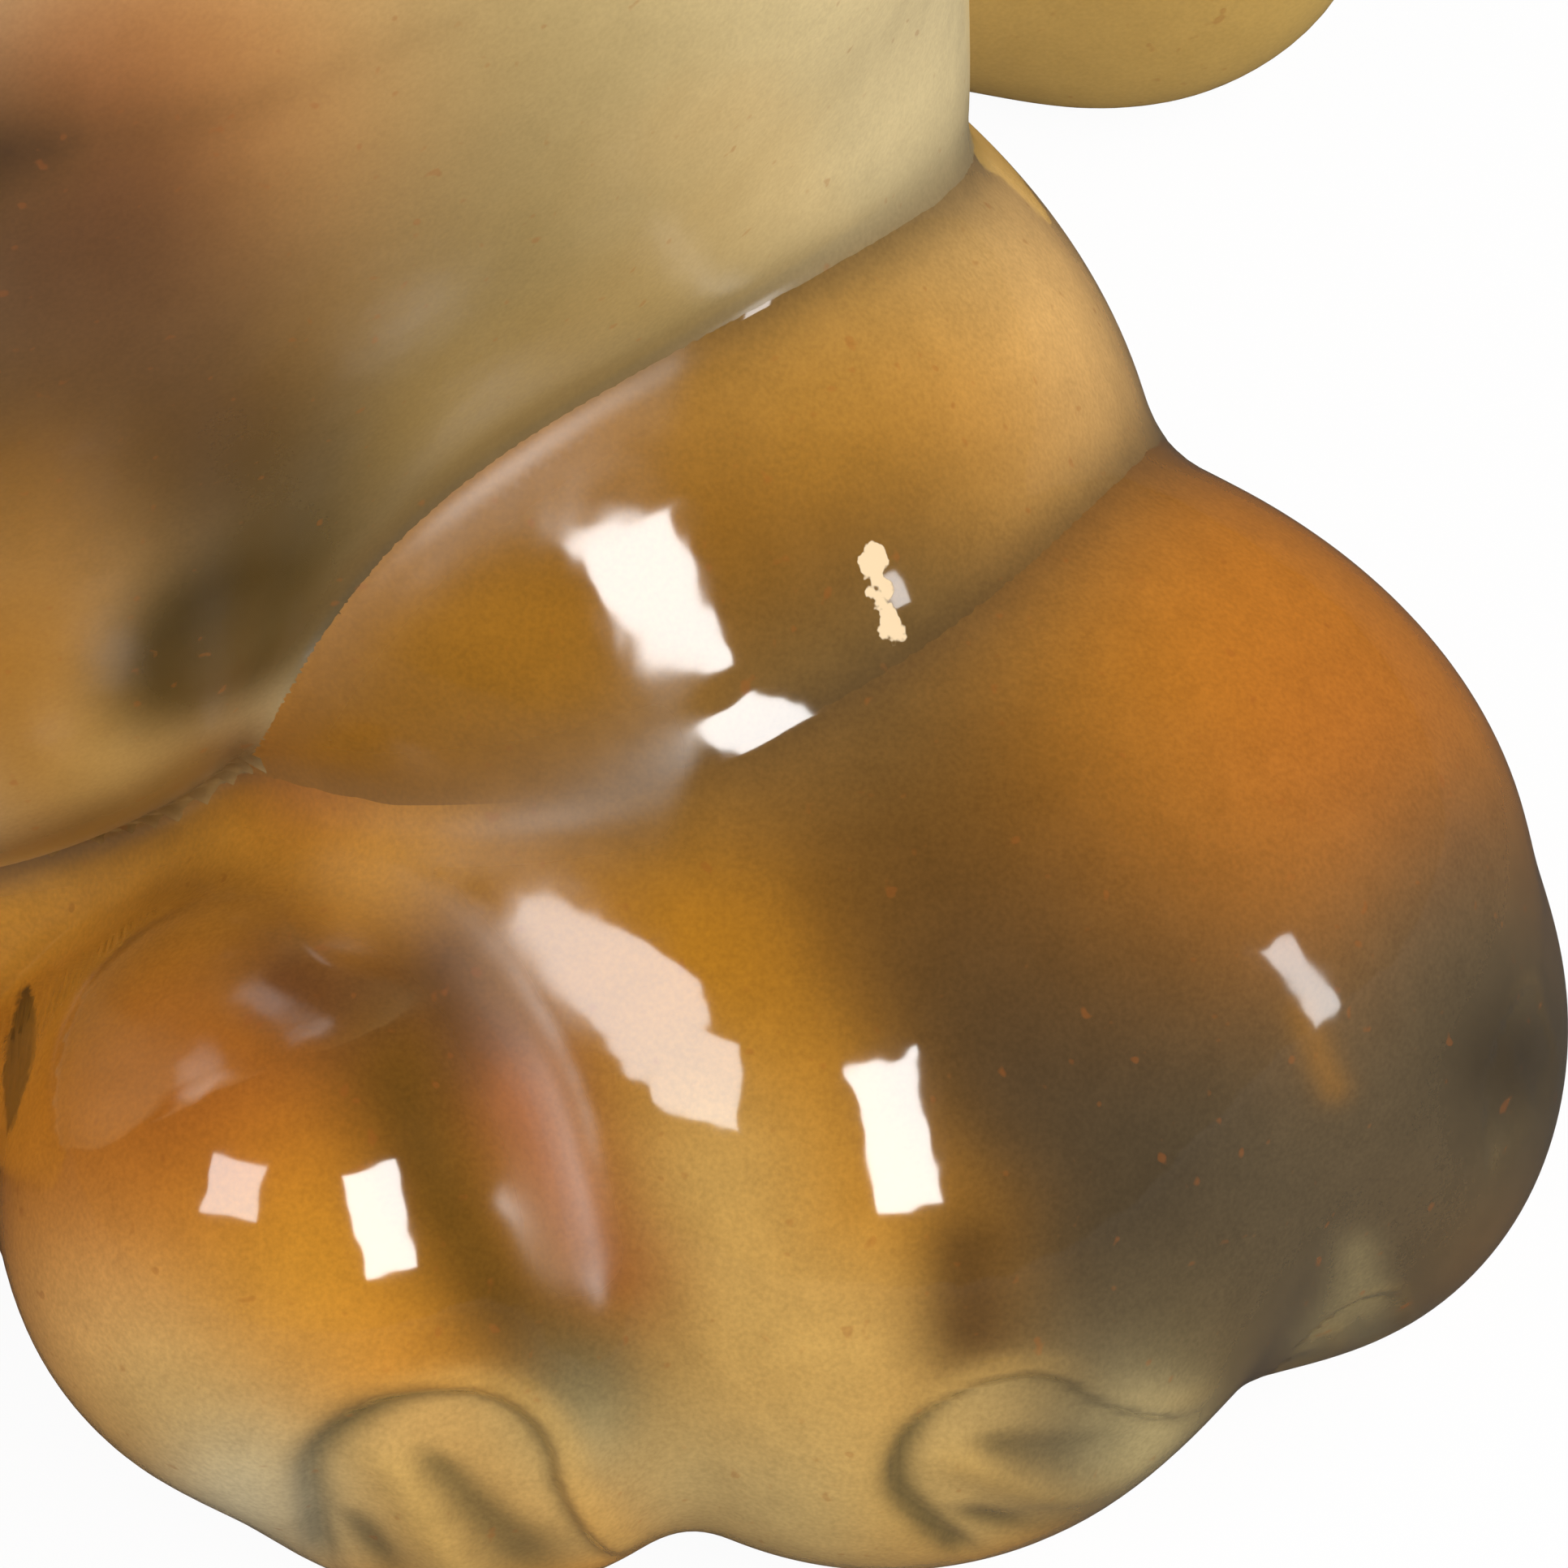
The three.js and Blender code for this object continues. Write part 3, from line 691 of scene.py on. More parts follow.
FOOT_PASSES = (
    (((43.0, 57.7, 21.3), (46.3, 59.8, 19.1)), 5.0, SIENNA, 0.55),
    (((41.0, 62.1, 21.4),), 5.0, ORANGE, 0.45),
    (((38.3, 61.7, 22.3),), 3.4, HONEY, 0.6),
    (((35.5, 64.0, 21.8), (33.6, 65.7, 20.9)), 2.6, MOSS, 0.7),
    (((37.3, 66.4, 20.0), (40.1, 67.1, 18.6)), 4.0, UMBER, 0.65),
    (((36.0, 68.0, 18.8),), 2.6, UMBER, 0.6),
    (((38.6, 69.7, 16.3), (42.0, 69.2, 14.6), (39.7, 71.2, 13.5)), 4.0, SLATE, 0.9),
    (((44.8, 67.8, 12.6), (47.7, 65.1, 13.1), (49.6, 61.9, 13.3)), 3.1, ASH, 0.85),
    (((42.6, 70.2, 10.6), (46.8, 65.7, 7.2), (50.3, 62.1, 8.6)), 3.0, ASH, 0.8),
    (((41.1, 71.6, 8.2),), 2.4, OLIVE, 0.75),
    (((41.3, 70.0, 14.5), (39.5, 71.0, 12.9)), 1.8, SLATE, 0.55),
    (((46.1, 60.0, 19.4),), 2.4, RUST, 0.4),
    (((49.0, 62.0, 17.3), (48.2, 63.0, 15.6)), 1.8, ASH, 0.5),
    (((37.0, 71.5, 14.4), (37.4, 72.3, 12.8)), 1.2, UMBER, 0.7),
    (((28.1, 64.9, 20.5), (30.5, 66.6, 19.9)), 2.0, HONEY, 0.65),
    (((27.0, 64.6, 21.6), (29.5, 64.6, 21.4)), 1.2, MOSS, 0.5),
    (((31.0, 67.6, 19.2), (32.9, 69.3, 17.4), (33.8, 70.5, 16.0), (35.2, 71.6, 14.7)),
     1.5, OCHRE, 0.9),
    (((31.0, 70.7, 14.9), (31.8, 72.0, 12.8), (34.0, 72.9, 11.9), (33.6, 73.4, 8.3)),
     2.1, BUFF, 0.8),
    (((30.5, 72.6, 9.9),), 2.0, BUFF, 0.7),
    (((31.0, 72.6, 7.1), (33.8, 73.4, 6.6)), 1.6, STONE, 0.6),
    (((36.1, 73.4, 7.5), (38.1, 73.2, 8.9)), 1.6, BUFF, 0.7),
    # Painted light: bright gold on the foot just under the haunch, where the haunch shades it.
    (((17.1, 60.7, 14.4),), 2.6, PAINTED_LIGHT_GOLD, 0.9),
    (((20.6, 64.0, 18.2), (22.4, 64.1, 18.8)), 2.0, PAINTED_LIGHT_GOLD, 0.95),
    (((22.2, 64.0, 22.0),), 1.6, ORANGE, 0.8),
    (((19.4, 68.6, 16.7),), 3.0, SIENNA, 0.6),
    (((17.9, 70.1, 14.5), (21.3, 70.2, 16.5)), 3.0, ORANGE, 0.75),
    (((22.0, 72.1, 14.7),), 2.2, GOLD, 0.6),
    (((18.6, 72.2, 10.2), (20.5, 73.1, 8.6)), 1.6, STRAW, 0.8),
    (((16.7, 70.6, 10.4),), 2.0, PEACH, 0.4),
    # Painted light: pale stone on the downward face of the side toe, beside its nail.
    (((21.1, 72.4, 6.1),), 2.2, STONE, 0.6),
    # Painted shade: cocoa in the groove across the top of the side toe.
    (((21.8, 66.8, 18.0), (23.1, 67.4, 18.0), (25.1, 67.0, 18.2), (26.0, 68.3, 17.4)),
     1.5, COCOA, 0.95),
    (((27.0, 69.3, 16.4), (28.1, 70.4, 14.8), (28.9, 71.4, 13.2)), 1.2, RUST, 0.85),
    # Painted shade: moss down the groove between the side toe and the instep.
    (((24.2, 69.3, 17.2), (24.6, 70.1, 16.6), (25.5, 71.4, 15.1), (26.6, 72.2, 13.2),
      (28.1, 72.6, 11.3)),
     1.3, MOSS, 0.95),
    (((28.4, 72.8, 10.6),), 1.2, OLIVE, 0.9),
    (((37.2, 71.7, 14.2), (37.3, 72.4, 12.6)), 0.9, UMBER, 0.95),
    (((19.4, 68.6, 16.7),), 2.0, RUST, 0.6),
    (((28.7, 73.0, 9.3),), 1.0, STONE, 0.4),
    PAINTED_CREASE_SHADE,
)
NAIL_PASSES = (
    (((40.5, 71.9, 10.2), (39.8, 72.5, 8.7)), 1.5, ASH, 0.85),
    (((41.4, 71.6, 7.8),), 1.2, STONE, 0.7),
    # Painted light: ivory on the downward face of the side toe, beside its nail.
    (((20.3, 72.4, 6.1),), 1.4, IVORY, 0.45),
    (((46.4, 65.6, 5.2),), 2.0, ASH, 0.8),
    (((50.1, 62.1, 10.0),), 2.4, ASH, 0.9),
    (((49.9, 62.3, 10.9),), 1.2, SLATE, 0.9),
    (((46.3, 66.3, 8.5), (46.0, 66.2, 6.7), (45.3, 66.0, 5.2)), 0.4, STONE, 0.25),
    (((46.7, 65.7, 6.7), (46.6, 65.1, 4.8)), 0.35, STONE, 0.2),
    (((44.9, 66.1, 16.3), (45.3, 66.5, 15.1), (45.6, 66.6, 14.4)), 0.3, HONEY, 0.3),
)

# Groove beside the side toe, the brush stroke behind that toe, and half widths along the stroke
TOE_GROOVE = np.array((
    (22.8, 65.0, 19.6), (24.8, 66.4, 19.6), (26.1, 67.6, 18.8), (27.2, 69.0, 17.2),
    (27.7, 69.9, 16.3), (28.1, 71.0, 15.0), (28.3, 71.4, 14.0)))
FOOT_STROKE = np.array((
    (15.4, 60.6, 11.6), (15.4, 61.6, 11.2), (15.3, 62.2, 10.4), (15.2, 62.6, 8.8)))
FOOT_STROKE_WIDTHS = (0.05, 0.42, 0.4, 0.04)

# Stripes: the middle of each along the body, its half width, its reach to either side, its slant
# and its waver
HAUNCH_STRIPES = (
    (44.0, 4.6, 26.0, 0.05, 1.2), (57.0, 4.2, 24.0, 0.1, 1.4), (69.0, 3.4, 22.0, 0.16, 1.0),
    (31.0, 3.2, 15.0, -0.1, 0.8),
)

# Painted shadow, a dark patch low on the haunch, and the chip in the right shank's glaze
PAINTED_SHADOW, PAINTED_SHADOW_HALF = (20.4, 63.5, 25.9), (2.9, 4.0, 3.2)
PAINTED_SHADOW_PAINT = glaze_paint(48, 38, 8)
CHIP = np.array(((35.0, 60.0, 24.8), (35.2, 60.4, 24.3), (35.5, 60.9, 23.4)))
CHIP_WIDTHS = (0.36, 0.24, 0.26)


def bare(points):
    """Distance to the ink on a casting that has none: well clear everywhere."""
    return np.full(len(points), CLEAR)


def even(points):
    """Roughness added to a glaze of one gloss: none anywhere."""
    return np.zeros(len(points))


SEAM_DULLING, SEAM_DULLING_WIDTH = 0.42, 1.1
GROOVE_DULLING, GROOVE_DULLING_WIDTH = 0.5, 0.8


def seam_dulling(points, seam):
    """Roughness added where the glaze is thin along the inner end of a seam."""
    inner = 1.0 - step(points[:, 0], 30.0, 31.5)
    return SEAM_DULLING * bell(seam, SEAM_DULLING_WIDTH) * inner


def painted_seam_shade(points):
    """Share of the painted shade that a seam on the hind leg holds: little at its inner end."""
    return 0.25 + 0.75 * step(points[:, 0], 26.0, 33.0)


STRIPE_EDGE, STRIPE_CORE = 0.675, 0.9


def stripe_paint(colour, distance, soft):
    """Brown stripe sprayed with a wide soft edge and a darker core."""
    colour = laid(colour, UMBER, STRIPE_EDGE * (1.0 - step(distance, -soft, 1.6 * soft)))
    return laid(colour, BARK, STRIPE_CORE * (1.0 - step(distance, -1.4 * soft, 0.3 * soft)))


def paint_haunch(points, slopes, seam):
    """Cream in front, amber over the back, grey and brown puffs, soft stripes from behind, a
    painted shadow low on the outer face, and painted shade along the seams above the foot.
    """
    back = step(-points[:, 0] + 0.4 * (points[:, 2] - 44.0), 2.0, 34.0)
    colour = laid(np.tile(CREAM, (len(points), 1)), AMBER, 0.9 * back)
    colour = laid(colour, GOLD, 0.5 * (1.0 - step(points[:, 2], 10.0, 24.0)))
    colour = airbrushed(colour, points, slopes, HAUNCH_PASSES)
    outward = step(slopes[:, 1], -0.1, 0.45)
    stripes = bands(points[:, 2], points[:, 0] + 8.0, HAUNCH_STRIPES)
    colour = stripe_paint(colour, stripes + 6.0 * (1.0 - outward), 1.6)
    # Painted shadow: a dark olive brown patch low on the haunch's outer face.
    painted_shadow = length((points - PAINTED_SHADOW) / PAINTED_SHADOW_HALF) - 1.0
    colour = laid(colour, PAINTED_SHADOW_PAINT, 0.9 * (1.0 - step(painted_shadow, -0.45, 0.5)))
    # Painted shade: olive and umber along the haunch's seams above the height of the foot.
    above_foot = step(points[:, 2], 22.5, 26.5)
    colour = laid(colour, OLIVE, 0.5 * above_foot * bell(seam, 1.4))
    return laid(colour, UMBER, 0.6 * above_foot * bell(seam, 0.5)), bare(points), even(points)


def paint_shank(points, slopes, seam):
    """Golden roll, peach at the front end, and painted shade in olive and slate along its seams."""
    colour = airbrushed(np.tile(AMBER, (len(points), 1)), points, slopes, SHANK_PASSES)
    shade = painted_seam_shade(points)
    # Painted shade: olive and slate darken the shank along its seams, less at their inner end.
    colour = laid(colour, OLIVE, 0.45 * shade * bell(seam, 1.5))
    colour = laid(colour, SLATE, 0.65 * shade * bell(seam, 0.45))
    return colour, bare(points), seam_dulling(points, seam)


def nail_paint(colour, points, nails, share=1.0):
    """Tan bed, pale claw, a painted highlight on the lip, and painted shade with pooled glaze in
    the groove and valleys of each nail.
    """
    for nail in nails:
        bed, line, lip, claw, valley = nail_marks(points, nail)
        depth = share * nail[4]
        colour = laid(colour, NAIL_BED, 0.6 * depth * bed)
        # Pale buff on the claw, and a painted highlight along the raised lip.
        colour = laid(colour, BUFF, depth * np.maximum(0.7 * claw, 0.45 * lip))
        # Painted shade with pooled glaze, dark in the groove inside the arch and the valleys by the
        # claw.
        colour = laid(colour, NAIL_SHADE_AND_POOL, depth * np.maximum(0.75 * valley, 0.9 * line))
    return colour


def paint_foot(points, slopes, seam):
    """Orange toes and instep sprayed over with umber, slate and ash towards the front, buff soles,
    painted light and shade on the toes, in their grooves and along the seams, and one black brush
    stroke behind the side toe."""
    colour = np.tile(AMBER, (len(points), 1))
    colour = airbrushed(colour, points, slopes, FOOT_PASSES)
    colour = laid(colour, GOLD, 0.4 * (1.0 - step(points[:, 0], -10.0, 14.0)))
    colour = laid(colour, BUFF, 0.7 * (1.0 - step(points[:, 2], 0.5, 4.5)))
    colour = nail_paint(colour, points, HIND_NAILS)
    colour = airbrushed(colour, points, slopes, NAIL_PASSES)
    # Painted shade: olive and slate darken the foot along its seams, less at their inner end.
    shade = painted_seam_shade(points)
    colour = laid(colour, OLIVE, 0.4 * shade * bell(seam, 1.4))
    colour = laid(colour, SLATE, 0.6 * shade * bell(seam, 0.45))
    away = 4.0 * (1.0 - step(slopes @ AIM, 0.0, 0.1))
    groove = brush_stroke(flattened(points), flattened(TOE_GROOVE), (0.0,) * len(TOE_GROOVE))
    dulling = GROOVE_DULLING * bell(groove, GROOVE_DULLING_WIDTH)
    dulling = np.maximum(dulling, seam_dulling(points, seam))
    stroke = brush_stroke(flattened(points), flattened(FOOT_STROKE), FOOT_STROKE_WIDTHS) + away
    return colour, stroke, dulling


PAW_PAINT = glaze_paint(182, 156, 90)


def paint_forepaw(points, slopes, seam):
    """Pale olive yellow, greyer at the toes, with painted shade in the clefts and along the seam,
    and nails.
    """
    colour = np.tile(PAW_PAINT, (len(points), 1))
    colour = laid(colour, CREAM, 0.7 * step(points[:, 2], 8.0, 18.0))
    colour = laid(colour, GOLD, 0.45 * step(points[:, 1], 14.0, 24.0))
    # Painted shade in the clefts between the toes.
    clefts = FORE_TOE_OUT[:-1] + 0.5 * FORE_TOE_PITCH
    cleft = np.minimum.reduce([np.abs(points[:, 1] - out) for out in clefts])
    colour = laid(colour, UMBER, 0.75 * bell(cleft, 0.45) * step(points[:, 0], 37.0, 42.0))
    colour = nail_paint(colour, points, FORE_NAILS, 0.8)
    # Painted shade: olive along the seam with the foreleg.
    return laid(colour, OLIVE, 0.5 * bell(seam, 1.2)), bare(points), even(points)


TORSO_STRIPES = tuple(
    (18.0 + 15.0 * i, 3.6 + 0.5 * (i % 2), 1.5 + 0.35 * ((i * 5) % 3), -4.0 + 2.0 * (i % 3), 1.6)
    for i in range(9))


def paint_torso(points, slopes, seam):
    """Amber back, cream chest and belly, and dark stripes that taper round from the back."""
    front = step(slopes[:, 0] + 0.25 * (1.0 - np.abs(slopes[:, 1])), -0.05, 0.75)
    colour = laid(np.tile(AMBER, (len(points), 1)), CREAM, front)
    behind = step(-slopes[:, 0], 0.45, 1.0) * step(points[:, 2], 30.0, 70.0)
    colour = laid(colour, RUST, 0.45 * behind)
    along = points[:, 2] * 0.88 + points[:, 0] * 0.3 + 12.0
    about = np.arctan2(np.abs(points[:, 1]), -(points[:, 0] - 0.35 * (points[:, 2] - 44.0) + 20.0))
    marks = bands(along, about, TORSO_STRIPES)
    colour = stripe_paint(colour, marks, 0.9)
    colour = laid(colour, IVORY, 0.8 * (1.0 - step(points[:, 2], 0.4, 2.0)))
    # Painted shade: umber along the seams with the other castings.
    return laid(colour, UMBER, 0.5 * bell(seam, 1.5)), marks + 0.7, even(points)


FORELEG_STRIPES = (
    (84.0, 3.0, 1.5, 4.0, 1.0), (68.0, 2.8, 1.35, -3.0, 1.0), (53.0, 2.6, 1.5, 3.0, 0.8),
    (39.0, 2.4, 1.3, -2.0, 0.8), (103.0, 3.2, 1.2, -4.0, 1.2),
)


def paint_foreleg(points, slopes, seam):
    """Amber outside, cream inside and down the front, with stripes across the outer face."""
    inner = step(slopes[:, 0] - 0.9 * slopes[:, 1], 0.0, 0.9)
    colour = laid(np.tile(AMBER, (len(points), 1)), CREAM, inner)
    colour = laid(colour, CREAM, 0.85 * (1.0 - step(points[:, 2], 18.0, 40.0)))
    turn = np.arctan2(-slopes[:, 0], slopes[:, 1]) - 0.15
    marks = bands(points[:, 2], turn, FORELEG_STRIPES)
    marks = np.where(np.abs(turn) < 1.6, marks, CLEAR)
    colour = stripe_paint(colour, marks, 0.7)
    # Painted shade: umber along the seams with the other castings.
    return laid(colour, UMBER, 0.5 * bell(seam, 1.2)), marks + 0.6, even(points)


BAND_PITCH, BAND_HALF, DARK_TIP = 19.0, 3.4, 13.0


def paint_tail(points, slopes, seam):
    """Amber with dark bands, cream underneath, and a dark tip."""
    line, _ = tail_line(200)
    nearest = np.argmin(length(points[:, None, :2] - line[None, ::2, :2]), axis=1) * 2
    run = np.concatenate(((0.0,), np.cumsum(length(np.diff(line, axis=0)))))[nearest]
    colour = laid(np.tile(AMBER, (len(points), 1)), CREAM, step(-slopes[:, 2], 0.0, 0.7))
    ahead = np.gradient(line[:, :2], axis=0)[nearest]
    ahead /= length(ahead)[:, None]
    run = run + np.einsum("ij,ij->i", points[:, :2] - line[nearest, :2], ahead)
    wave = 0.8 * np.sin(5.0 * slopes[:, 2]) + 0.6 * np.sin(7.0 * slopes[:, 0])
    phase = np.abs((run + wave + 4.0) % BAND_PITCH - 0.5 * BAND_PITCH)
    marks = np.maximum(phase - BAND_HALF, 2.5 * (-slopes[:, 2] - 0.35))
    marks = np.minimum(marks, run.max() - DARK_TIP - run - wave)
    colour = stripe_paint(colour, marks, 0.8)
    # Painted shade: umber along the seams with the other castings.
    return laid(colour, UMBER, 0.5 * bell(seam, 1.2)), marks + 0.6, even(points)


def paint_ear(points, slopes, seam):
    """Dark back and rim, cream cup with a rose middle."""
    colour = laid(np.tile(BARK, (len(points), 1)), AMBER, step(slopes[:, 0], -0.35, 0.1))
    cup = 1.0 - step(length((points - EAR - (5.0, 0.0, 0.0)) / (7.0, 9.2, 10.4)), 0.75, 1.0)
    colour = laid(colour, IVORY, cup * step(slopes[:, 0], 0.0, 0.5))
    middle = bell(length((points - EAR - (1.0, 0.0, -1.0)) / (1.0, 1.0, 1.4)), 3.4)
    colour = laid(colour, ROSE, 0.55 * middle * step(slopes[:, 0], 0.2, 0.6))
    return laid(colour, AMBER, 0.7 * bell(seam, 1.6)), bare(points), even(points)


# Strokes on the head as directions from the crown's heart: forward, out and up, with half widths
HEAD_STROKES = (
    (((0.62, 0.10, 0.78), (0.30, 0.22, 0.93), (-0.10, 0.28, 0.95)), (0.2, 1.5, 0.2)),
    (((0.74, 0.09, 0.66), (0.64, 0.26, 0.72), (0.42, 0.42, 0.80)), (0.2, 1.3, 0.2)),
    (((0.82, 0.07, 0.56), (0.76, 0.19, 0.62), (0.66, 0.36, 0.66)), (0.2, 1.1, 0.2)),
    (((0.40, 0.90, 0.10), (0.18, 0.96, -0.05), (0.05, 0.96, -0.30)), (0.2, 1.4, 0.2)),
    (((0.52, 0.84, -0.16), (0.34, 0.88, -0.32), (0.16, 0.86, -0.50)), (0.2, 1.4, 0.2)),
    (((0.60, 0.74, -0.40), (0.44, 0.76, -0.52), (0.26, 0.74, -0.64)), (0.2, 1.2, 0.2)),
    (((-0.40, 0.25, 0.88), (-0.52, 0.55, 0.66), (-0.46, 0.80, 0.38)), (0.2, 1.8, 0.2)),
    (((-0.72, 0.12, 0.68), (-0.80, 0.44, 0.42), (-0.68, 0.72, 0.10)), (0.3, 1.8, 0.2)),
    (((-0.94, 0.10, 0.34), (-0.94, 0.34, 0.04), (-0.80, 0.60, -0.18)), (0.3, 1.7, 0.2)),
)
WHISKER_SPOTS = ((33.5, 12.6, -10.5), (31.0, 15.4, -12.5), (34.6, 13.0, -14.6), (30.6, 16.0, -16.6))
WHISKER_SPOT_RADIUS = 0.62
MOUTH = np.array((
    (39.0, 0.4, -10.4), (38.6, 0.5, -15.2), (35.6, 5.0, -19.6), (31.0, 10.5, -20.6),
    (25.5, 15.2, -18.8)))
MOUTH_WIDTHS = (0.5, 0.5, 0.55, 0.5, 0.2)

# Painted eye as distances from its axis, and the distance given where no face is ahead
EYE_RIM, EYE_RIM_HALF, PUPIL, IRIS_EDGE = 5.5, 0.62, 2.5, 5.3
FACE_AHEAD, NO_EYE = 16.0, 99.0


def paint_head(points, slopes, seam):
    """Amber crown, cream muzzle, cheeks and brows, rose nose, painted eyes, mouth and stripes. Each
    stroke is a parabola through its three directions, carried out to the skin."""
    local = points - CROWN
    side = np.abs(local[:, 1])
    left = to_left(points)
    colour = np.tile(AMBER, (len(points), 1))
    colour = laid(colour, CREAM, step(local[:, 0] - 0.55 * (local[:, 2] + 12.0), 17.0, 25.0))
    cheek = bell(length((left - CROWN - (14.0, 27.0, -17.0)) / (1.1, 1.0, 0.9)), 8.0)
    colour = laid(colour, IVORY, np.minimum(1.0, 1.2 * cheek))
    brow = bell(length((left - CROWN - (23.0, 14.0, 14.0)) / (1.0, 1.5, 1.0)), 4.2)
    under = bell(length((left - CROWN - (25.0, 16.0, -3.0)) / (1.0, 1.4, 1.0)), 4.2)
    colour = laid(colour, IVORY, 0.9 * np.maximum(brow, under))
    colour = laid(colour, CREAM, 0.9 * (1.0 - step(local[:, 2], -26.0, -16.0)))
    bridge = bell(side, 5.0) * step(local[:, 0], 22.0, 30.0) * step(local[:, 2], -4.0, 2.0)
    colour = laid(colour, ORANGE, 0.6 * bridge)
    nose = length((local - (38.6, 0.0, -5.6)) / (5.2, 6.4, 3.9))
    colour = laid(colour, ROSE, 1.0 - step(nose, 0.86, 1.02))
    # Painted shade: umber along the seams with the torso and the ears.
    colour = laid(colour, UMBER, 0.4 * bell(seam, 1.5))
    along = np.linspace(0.0, 1.0, 7)
    shares = np.column_stack((
        (2.0 * along - 1.0) * (along - 1.0), 4.0 * along * (1.0 - along),
        along * (2.0 * along - 1.0)))
    rays = np.vstack([shares @ np.array(path) for path, _ in HEAD_STROKES])
    rays /= length(rays)[:, None]
    reach = reach_skin(np.tile(CROWN, (len(rays), 1)), rays, head)
    places = CROWN + rays * reach[:, None]
    marks = bare(points)
    for stroke, (_, widths) in zip(places.reshape(-1, len(along), 3), HEAD_STROKES):
        marks = np.minimum(marks, brush_stroke(left, stroke, shares @ np.array(widths)))
    colour = laid(colour, UMBER, 0.6 * (1.0 - step(marks, -0.5, 1.8)))
    eye = np.where(local[:, 0] > FACE_AHEAD, eye_ring(left), NO_EYE)
    spots = np.minimum.reduce([
        length(left - CROWN - np.array(spot)) - WHISKER_SPOT_RADIUS for spot in WHISKER_SPOTS])
    mouth = brush_stroke(left, CROWN + MOUTH, MOUTH_WIDTHS)
    rim = np.abs(eye - EYE_RIM) - EYE_RIM_HALF
    ink = np.minimum.reduce((marks, spots, mouth, rim, eye - PUPIL))
    return colour, ink, even(points), eye - IRIS_EDGE


# Glaze

def link(tree, start, end):
    """Joins an output socket to an input socket."""
    tree.links.new(start, end)


def add_node(tree, kind, **values):
    """New shader node with its properties and input values set."""
    node = tree.nodes.new(kind)
    for name, value in values.items():
        if name in node.inputs:
            node.inputs[name].default_value = value
        else:
            setattr(node, name, value)
    return node


def noise(tree, coordinates, scale, detail=2.0):
    """Cloudy noise on object coordinates, given by its scale in waves to the metre."""
    node = add_node(tree, "ShaderNodeTexNoise", Scale=scale, Detail=detail)
    link(tree, coordinates, node.inputs["Vector"])
    return node.outputs["Fac"]


def remap(tree, value, low, high, to_low=0.0, to_high=1.0, smooth=False):
    """Value moved from one range to another and held at its ends."""
    curve = "SMOOTHSTEP" if smooth else "LINEAR"
    node = add_node(tree, "ShaderNodeMapRange", interpolation_type=curve)
    ends = (("From Min", low), ("From Max", high), ("To Min", to_low), ("To Max", to_high))
    for name, number in ends:
        node.inputs[name].default_value = number
    link(tree, value, node.inputs["Value"])
    return node.outputs["Result"]


def maths(tree, operation, first, second):
    """One sum on two sockets or numbers."""
    node = add_node(tree, "ShaderNodeMath", operation=operation)
    for socket, value in zip(node.inputs, (first, second)):
        if isinstance(value, (int, float)):
            socket.default_value = value
        else:
            link(tree, value, socket)
    return node.outputs[0]


def mixed(tree, share, first, second, blend="MIX"):
    """Second colour laid over the first by a share."""
    node = add_node(tree, "ShaderNodeMix", data_type="RGBA", blend_type=blend)
    for place, value in ((0, share), (6, first), (7, second)):
        socket = node.inputs[place]
        if isinstance(value, (int, float)):
            socket.default_value = value
        elif isinstance(value, bpy.types.NodeSocket):
            link(tree, value, socket)
        else:
            socket.default_value = (*value, 1.0)
    return node.outputs[2]


# Grain of the sprayed paint and of the glaze over it, in waves to the metre
SPECKLE_WAVES, MOTTLE_WAVES, SPECK_WAVES = 8000.0, 900.0, 2100.0
EDGE_WAVES, RIPPLE_WAVES = 2600.0, 420.0
SPECKLE_SHARE, MOTTLE_SHARE = 0.62, 0.38


